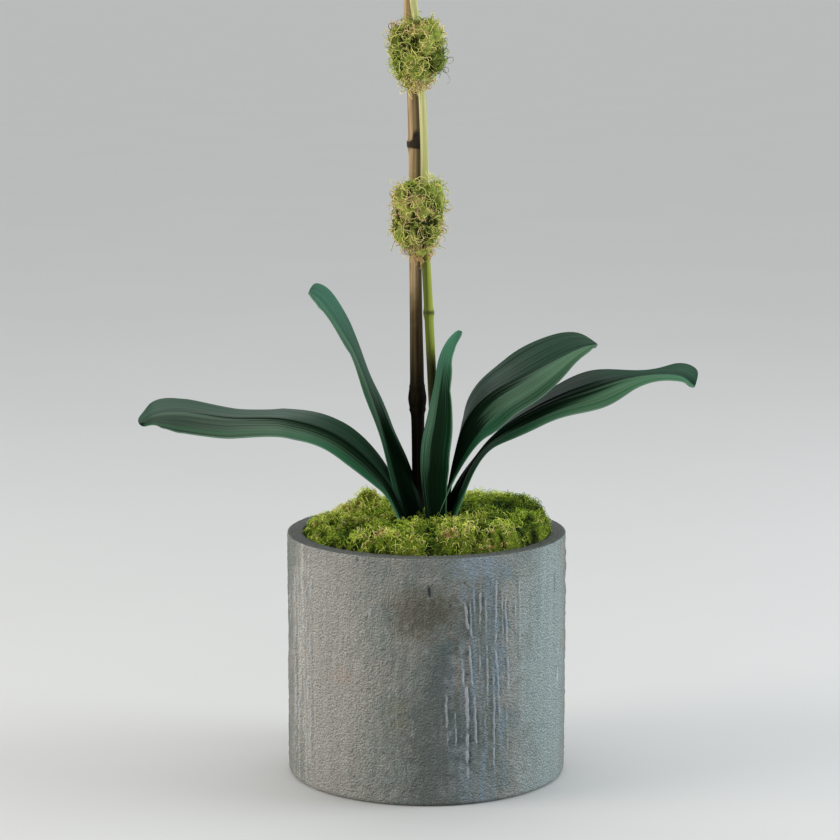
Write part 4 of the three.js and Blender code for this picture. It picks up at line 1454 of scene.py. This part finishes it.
def build_tie(number, tie, material):
    chance = np.random.default_rng(70 + number)
    body = Body()
    turn = circle(40)
    level = np.sin(np.linspace(-0.995, 0.995, 24)[:, None] * np.pi / 2)
    ring = np.sqrt(1 - level ** 2)
    directions = round_points(ring, turn, level)
    bumps, tint = tie_bumps(directions, number)
    core = tie_surface(directions, tie, number, TIE_CORE + bumps)
    # Painted shade: the core is darker in the gaps between tufts.
    body.add_rings(core * MM, {"tint": 0.32 + 0.16 * tint - 4.0 * np.maximum(0, 0.02 - bumps), "tip": 0.1})

    roots = unit(chance.normal(size=(TIE_THREADS, 3)))
    bumps, tint = tie_bumps(roots, number)
    start = tie_surface(roots, tie, number, TIE_CORE + bumps) * MM
    centre = np.array([tie["x"], TIE_Y, tie["z"]]) * MM
    size = np.array([tie["half"], tie["half"], tie["tall"]]) * MM
    layer = np.linalg.norm((start - centre) / size, axis=1) + chance.uniform(0.0, 0.11, TIE_THREADS)
    whisker = chance.uniform(size=TIE_THREADS) < WHISKERS
    layer = layer + whisker * chance.uniform(0.15, 0.45, TIE_THREADS)

    def steer(points):
        local = (points - centre) / size
        distance = np.linalg.norm(local, axis=1, keepdims=True)
        return local / distance * (layer[:, None] - distance) * 3.5

    heading = np.cross(roots, chance.normal(size=roots.shape)) + 0.4 * roots
    step = chance.uniform(1.0, 1.9, TIE_THREADS) * MM
    curl = chance.uniform(0.3, 1.1, TIE_THREADS)
    paths = grow_threads(start, heading, step, TIE_JOINTS, curl, steer, chance)
    level = roots[:, 2]
    fresh = 0.24 * soft_step(roots[:, 0] + 0.5 * level, 0.1, 0.8) * (0.4 if number == 0 else 1)
    # Painted shade: threads in the gaps between tufts get a darker tint.
    tint = 0.67 + 0.26 * tint - fresh + 0.12 * soft_step(-level, 0.4, 0.9) - 2.5 * np.maximum(0, -bumps)
    tint = np.clip(tint + chance.normal(0, 0.14, TIE_THREADS), 0, 1)
    add_threads(body, paths, chance.uniform(0.2, 0.4, TIE_THREADS) * MM, tint)
    name = f"moss_tie_{number + 1}"
    make_piece(name + "_tuft", body, material, "tie", name)


TIE_STOPS = [
    (0.0, (0.05, 0.055, 0.01)),
    (0.2, (0.22, 0.28, 0.035)),
    (0.38, (0.48, 0.62, 0.09)),
    (0.58, (0.9, 0.86, 0.24)),
    (0.8, (0.95, 0.76, 0.36)),
    (1.0, (0.66, 0.38, 0.16)),
]
tie_thread = moss_thread_finish("dried moss threads", TIE_STOPS, 0.75)
for number, tie in enumerate(TIES):
    build_tie(number, tie, tie_thread)

# %% [markdown]
# ## Blooms
#
# A moth orchid has three narrow sepals behind and two broad petals in front of them. They are thin, so
# light shines through them, and fine veins fan out from the middle. The same blade helper makes all five.
# Each lies in the bloom's own plane and is then turned to face the way that its stalk points.

# %% Sepals and petals
PETAL_ARCH = 0.14
SEPAL = {"length": 1, "half": 0.34, "base": 0.3, "widest": 0.5, "tip": 2, "lift": -0.05, "cup": -0.04,
         "wave": 0}
SIDE_SEPAL = dict(SEPAL, length=0.98, half=0.33, widest=0.45, tip=1.8, lift=-0.06)
BROAD = {"length": 1.06, "half": 0.6, "base": 0.16, "widest": 0.55, "tip": 2.3, "lift": 0.07, "cup": -0.08,
         "wave": 0.03}
BLOOM_PARTS = [(90, SEPAL), (218, SIDE_SEPAL), (322, SIDE_SEPAL), (172, BROAD), (8, BROAD)]
CORE = 0.11  # size of a bloom's core, as a share of the bloom's
PETAL_STATIONS = 30
PETAL_COLUMNS = 21


def on_stalk(points, place):
    """Moves points from a flower's own plane, in mm, to the end of its stalk, in metres."""
    front = place["facing"]
    side = unit(np.cross((0, 0, 1), front))
    axes = np.stack([side, np.cross(front, side), front])
    return (points @ axes + place["end"]) * MM


def petal_rings(part, angle, radius):
    shape = dict(part, half=part["half"] * radius)
    turn = math.radians(angle)
    out = np.array([math.cos(turn), math.sin(turn), 0.0])
    front = np.array([0.0, 0.0, 1.0])
    across = np.cross(out, front)
    t = (1 - (1 - np.linspace(0, 1, PETAL_STATIONS)) ** 1.5)[:, None]
    a = blade_columns(PETAL_COLUMNS)
    half = np.maximum(0.4, blade_width(shape, t))
    wave = part["wave"] * np.sin(7 * a + 4 * t) * t * a * a
    bend = part["cup"] * (a * a * (half / radius) + t * t) + PETAL_ARCH * t * (1 - t)
    veins = 0.0022 * np.cos(a * 22) * (1 - t ** 4)
    crease = -0.006 * hump(a, 0, 0.08) * (1 - t)
    rise = radius * (part["lift"] + bend + wave + veins + crease)
    reach = radius * part["length"] * (0.04 + 0.96 * t)
    top = out * reach[..., None] + across * (half * a)[..., None] + front * rise[..., None]
    depth = (0.45 + 0.45 * (1 - t)) * (1 - 0.35 * a ** 2)
    return blade_rings(top, front, depth, a), t, a


def ball_rings(centre, size, steps=12, sides=20):
    """A ball or an egg, from below to above, with its sizes along X, Y and Z."""
    rise = np.linspace(-0.49, 0.49, steps)[:, None] * np.pi
    turn = circle(sides)
    return np.array(centre) + round_points(np.cos(rise), turn, np.sin(rise)) * np.array(size)


def petal_marks(t, a, tone):
    return {"along": t, "across": round_the_blade(a), "tone": tone}


def build_bloom(number, place, material):
    body = Body()
    for angle, part in BLOOM_PARTS:
        rings, t, a = petal_rings(part, angle, place["size"])
        add_blade(body, on_stalk(rings, place), PETAL_COLUMNS, petal_marks(t, a, part is BROAD))
    core = ball_rings((0, 0, 0), [place["size"] * CORE] * 3)
    body.add_rings(on_stalk(core, place), {"along": 0, "across": 0, "tone": 0})
    make_piece(f"bloom_{number}_petals", body, material, "petal", f"bloom_{number}")


# %% Petal skin
def petal_skin():
    finish = Finish("petal skin", Specular_IOR_Level=0.3, Subsurface_Weight=0.25, Subsurface_Scale=0.003,
                    Sheen_Weight=0.15)
    along = finish.mark("along")
    across = finish.mark("across")
    veins = finish.noise(finish.join(across * 14.0, along * 1.5, finish.mark("tone") * 4.0), 1.0, 3.0, 0.5)
    cloud = finish.noise(finish.place(), 120.0, 3.0, 0.5)
    veined = finish.step(veins, 0.45, 0.7) * (1 - finish.step(along, 0.7, 0.97))
    colour = finish.lay(
        finish.mix((0.9, 0.885, 0.87), (0.8, 0.8, 0.755), veined * 0.5),
        ((0.7, 0.74, 0.47), (1 - finish.step(along, 0.0, 0.28)) * 0.75),
        ((0.82, 0.79, 0.8), finish.step(cloud, 0.5, 0.75) * 0.3),
    )
    return finish.wear(colour, 0.45 + veins * 0.15, veins + cloud * 0.3, 0.35 * MM)


petal_finish = petal_skin()
for number, place in enumerate(bloom_places(), 1):
    build_bloom(number, place, petal_finish)

# %% [markdown]
# ## Lips
#
# The lip is the small coloured petal in the middle. Two side lobes curl up beside the column, and the
# middle lobe points down and forward, is widest below its middle and ends in two fine curling tendrils.
# It's waxy and yellow, with red bars near the throat, which come from a wave of the marks along and across
# each lobe.

# %% Parts of a lip
LIP_COLUMN = [(0, 0.04, 0), (0, 0.05, 0.1), (0, -0.01, 0.2)]
MIDDLE_LOBE = [(0, 0.01, 0.05), (0, -0.13, 0.16), (0, -0.3, 0.19), (0, -0.47, 0.1)]
SIDE_LOBE = [(0.02, -0.05, 0.1), (0.13, -0.09, 0.13), (0.22, 0.01, 0.21), (0.19, 0.15, 0.29)]
TENDRIL = [(0, -0.45, 0.11), (0.05, -0.5, 0.12), (0.1, -0.47, 0.17), (0.09, -0.42, 0.2)]


def lobe_rings(line, widths, facing, cup, stations=20, columns=13, thickness=0.7):
    """A small curved petal along a line, in mm, whose face looks the way that facing points."""
    t = np.linspace(0, 1, stations)
    a = blade_columns(columns)
    along = line.along(t)
    facing = np.array(facing, float)
    normal = unit(facing - along * (along @ facing)[:, None])
    across = np.cross(along, normal)
    half = np.maximum(0.15, follow(widths, t))[:, None]
    lift = cup * half * a ** 2
    top = line.at(t)[:, None] + across[:, None] * (half * a)[..., None] + normal[:, None] * lift[..., None]
    depth = thickness * np.clip(half / 1.5, 0.3, 1) * np.ones(columns)
    return blade_rings(top, normal[:, None], depth, a), t[:, None], a


def build_lip(number, place, material):
    r = place["size"]
    body = Body()

    def lip_line(points, side=1):
        """A line through points that are given as shares of the bloom's size, in front of its core."""
        return Line([(side * x * r, y * r, r * CORE + CLEARANCE + z * r) for x, y, z in points], 1.0)

    def column_radius(share, centres):
        return r * (0.052 + 0.018 * np.sin(np.pi * share) ** 2 - 0.02 * share ** 8)

    def tendril_radius(share, centres):
        return r * 0.012 * (1 - 0.6 * share)

    def add_rod(points, side, radius_at, steps, sides, along, tone):
        rings = rod_rings(lip_line(points, side), radius_at, np.linspace(0, 1, steps), sides)
        body.add_rings(on_stalk(rings, place), {"along": along, "across": 0, "tone": tone})

    def add_lobe(points, side, widths, facing, cup, tone):
        rings, t, a = lobe_rings(lip_line(points, side), [width * r for width in widths], facing, cup)
        add_blade(body, on_stalk(rings, place), len(a), petal_marks(t, a, tone))

    add_rod(LIP_COLUMN, 1, column_radius, 14, 16, np.linspace(0, 1, 14)[:, None], 0)
    add_lobe(MIDDLE_LOBE, 1, (0.05, 0.085, 0.145, 0.02), (0, 0.35, 1), -0.35, 1)
    for side in (-1, 1):
        add_lobe(SIDE_LOBE, side, (0.05, 0.1, 0.115, 0.03), (-side, 0.6, 0.4), 0.25, 0.5)
        add_rod(TENDRIL, side, tendril_radius, 10, 8, 1, 1)
    callus = ball_rings((0, -0.06 * r, r * CORE + CLEARANCE + 0.17 * r), (0.045 * r, 0.035 * r, 0.045 * r))
    body.add_rings(on_stalk(callus, place), {"along": 0.1, "across": 0, "tone": 0.5})
    make_piece(f"lip_{number}_lobes", body, material, "lip", f"lip_{number}")


# %% Lip skin
def lip_skin():
    finish = Finish("lip skin", Specular_IOR_Level=0.45, Subsurface_Weight=0.2, Subsurface_Scale=0.002)
    along = finish.mark("along")
    across = finish.mark("across")
    tone = finish.mark("tone")
    cloud = finish.noise(finish.place(), 260.0, 3.0, 0.5)
    bars = finish.maths("SINE", along * 30.0 + across * across * 9.0 + cloud * 5.0)
    throat = finish.bell(along, 0.15, 0.3) * finish.bell(tone, 0.6, 0.4)
    colour = finish.lay(
        finish.mix((0.88, 0.86, 0.8), (0.86, 0.6, 0.12), finish.step(tone + cloud * 0.3, 0.2, 0.6)),
        ((0.9, 0.84, 0.66), finish.step(along, 0.55, 1.0) * 0.6),
        ((0.5, 0.06, 0.05), finish.step(bars, 0.1, 0.7) * throat * 0.85),
    )
    return finish.wear(colour, 0.35 + cloud * 0.2, cloud + bars * 0.1, 0.25 * MM)


lip_finish = lip_skin()
for number, place in enumerate(bloom_places(), 1):
    build_lip(number, place, lip_finish)

# %% [markdown]
# ## Buds
#
# A bud is a closed egg, a little fuller towards its stalk, with three shallow seams where the sepals meet.
# It's still green, and turns paler where the petals push from inside.

# %% Buds
def build_bud(number, place, material, steps=26, sides=30):
    size = place["size"]
    rise = np.linspace(0.01, 0.99, steps)[:, None] * np.pi
    turn = circle(sides)
    seams = 1 - 0.05 * np.abs(np.cos(1.5 * turn)) ** 14 * np.sin(rise) ** 0.5
    radius = size * np.sin(rise) * (1 + 0.14 * np.cos(rise)) * seams
    tall = -np.cos(rise) * size * 1.05
    body = Body()
    points = on_stalk(round_points(radius, turn, tall), place)
    body.add_rings(points, {"along": rise / np.pi, "across": np.cos(1.5 * turn)})
    make_piece(f"bud_{number}_sepals", body, material, "bud", f"bud_{number}")


def bud_skin():
    finish = Finish("bud skin", Specular_IOR_Level=0.4, Subsurface_Weight=0.15, Subsurface_Scale=0.002)
    along = finish.mark("along")
    cloud = finish.noise(finish.place(), 300.0, 3.0, 0.5)
    colour = finish.mix((0.42, 0.5, 0.2), (0.8, 0.8, 0.6), finish.step(along + cloud * 0.3, 0.25, 0.9))
    seam = finish.maths("ABSOLUTE", finish.mark("across"))
    colour = finish.mix(colour, (0.35, 0.44, 0.17), finish.step(seam, 0.86, 1.0) * 0.6)
    return finish.wear(colour, 0.4 + cloud * 0.15, cloud, 0.2 * MM)


bud_finish = bud_skin()
for number, place in enumerate(bud_places(), 1):
    build_bud(number, place, bud_finish)

# %% [markdown]
# ## Floor
#
# The floor only receives the shadow. It's a wide disc with a faint mottle, so that it isn't one dead
# colour.

# %% Floor
def floor_paint():
    finish = Finish("floor paint", Specular_IOR_Level=0.2)
    mottle = finish.noise(finish.place(), 3.0, 3.0, 0.5)
    colour = finish.mix((0.6, 0.6, 0.59), (0.63, 0.63, 0.62), mottle)
    return finish.wear(colour, 0.8 + (mottle - 0.5) * 0.1, mottle, 0.1 * MM)


FLOOR_RADIUS = 80
FLOOR_SIDES = 96
disc = round_points(FLOOR_RADIUS, circle(FLOOR_SIDES), -0.2 * MM)
floor_mesh = bpy.data.meshes.new("floor")
floor_mesh.from_pydata(disc, [], [list(range(FLOOR_SIDES))])
floor_mesh.materials.append(floor_paint())
floor = bpy.data.objects.new("floor", floor_mesh)
scene.collection.objects.link(floor)
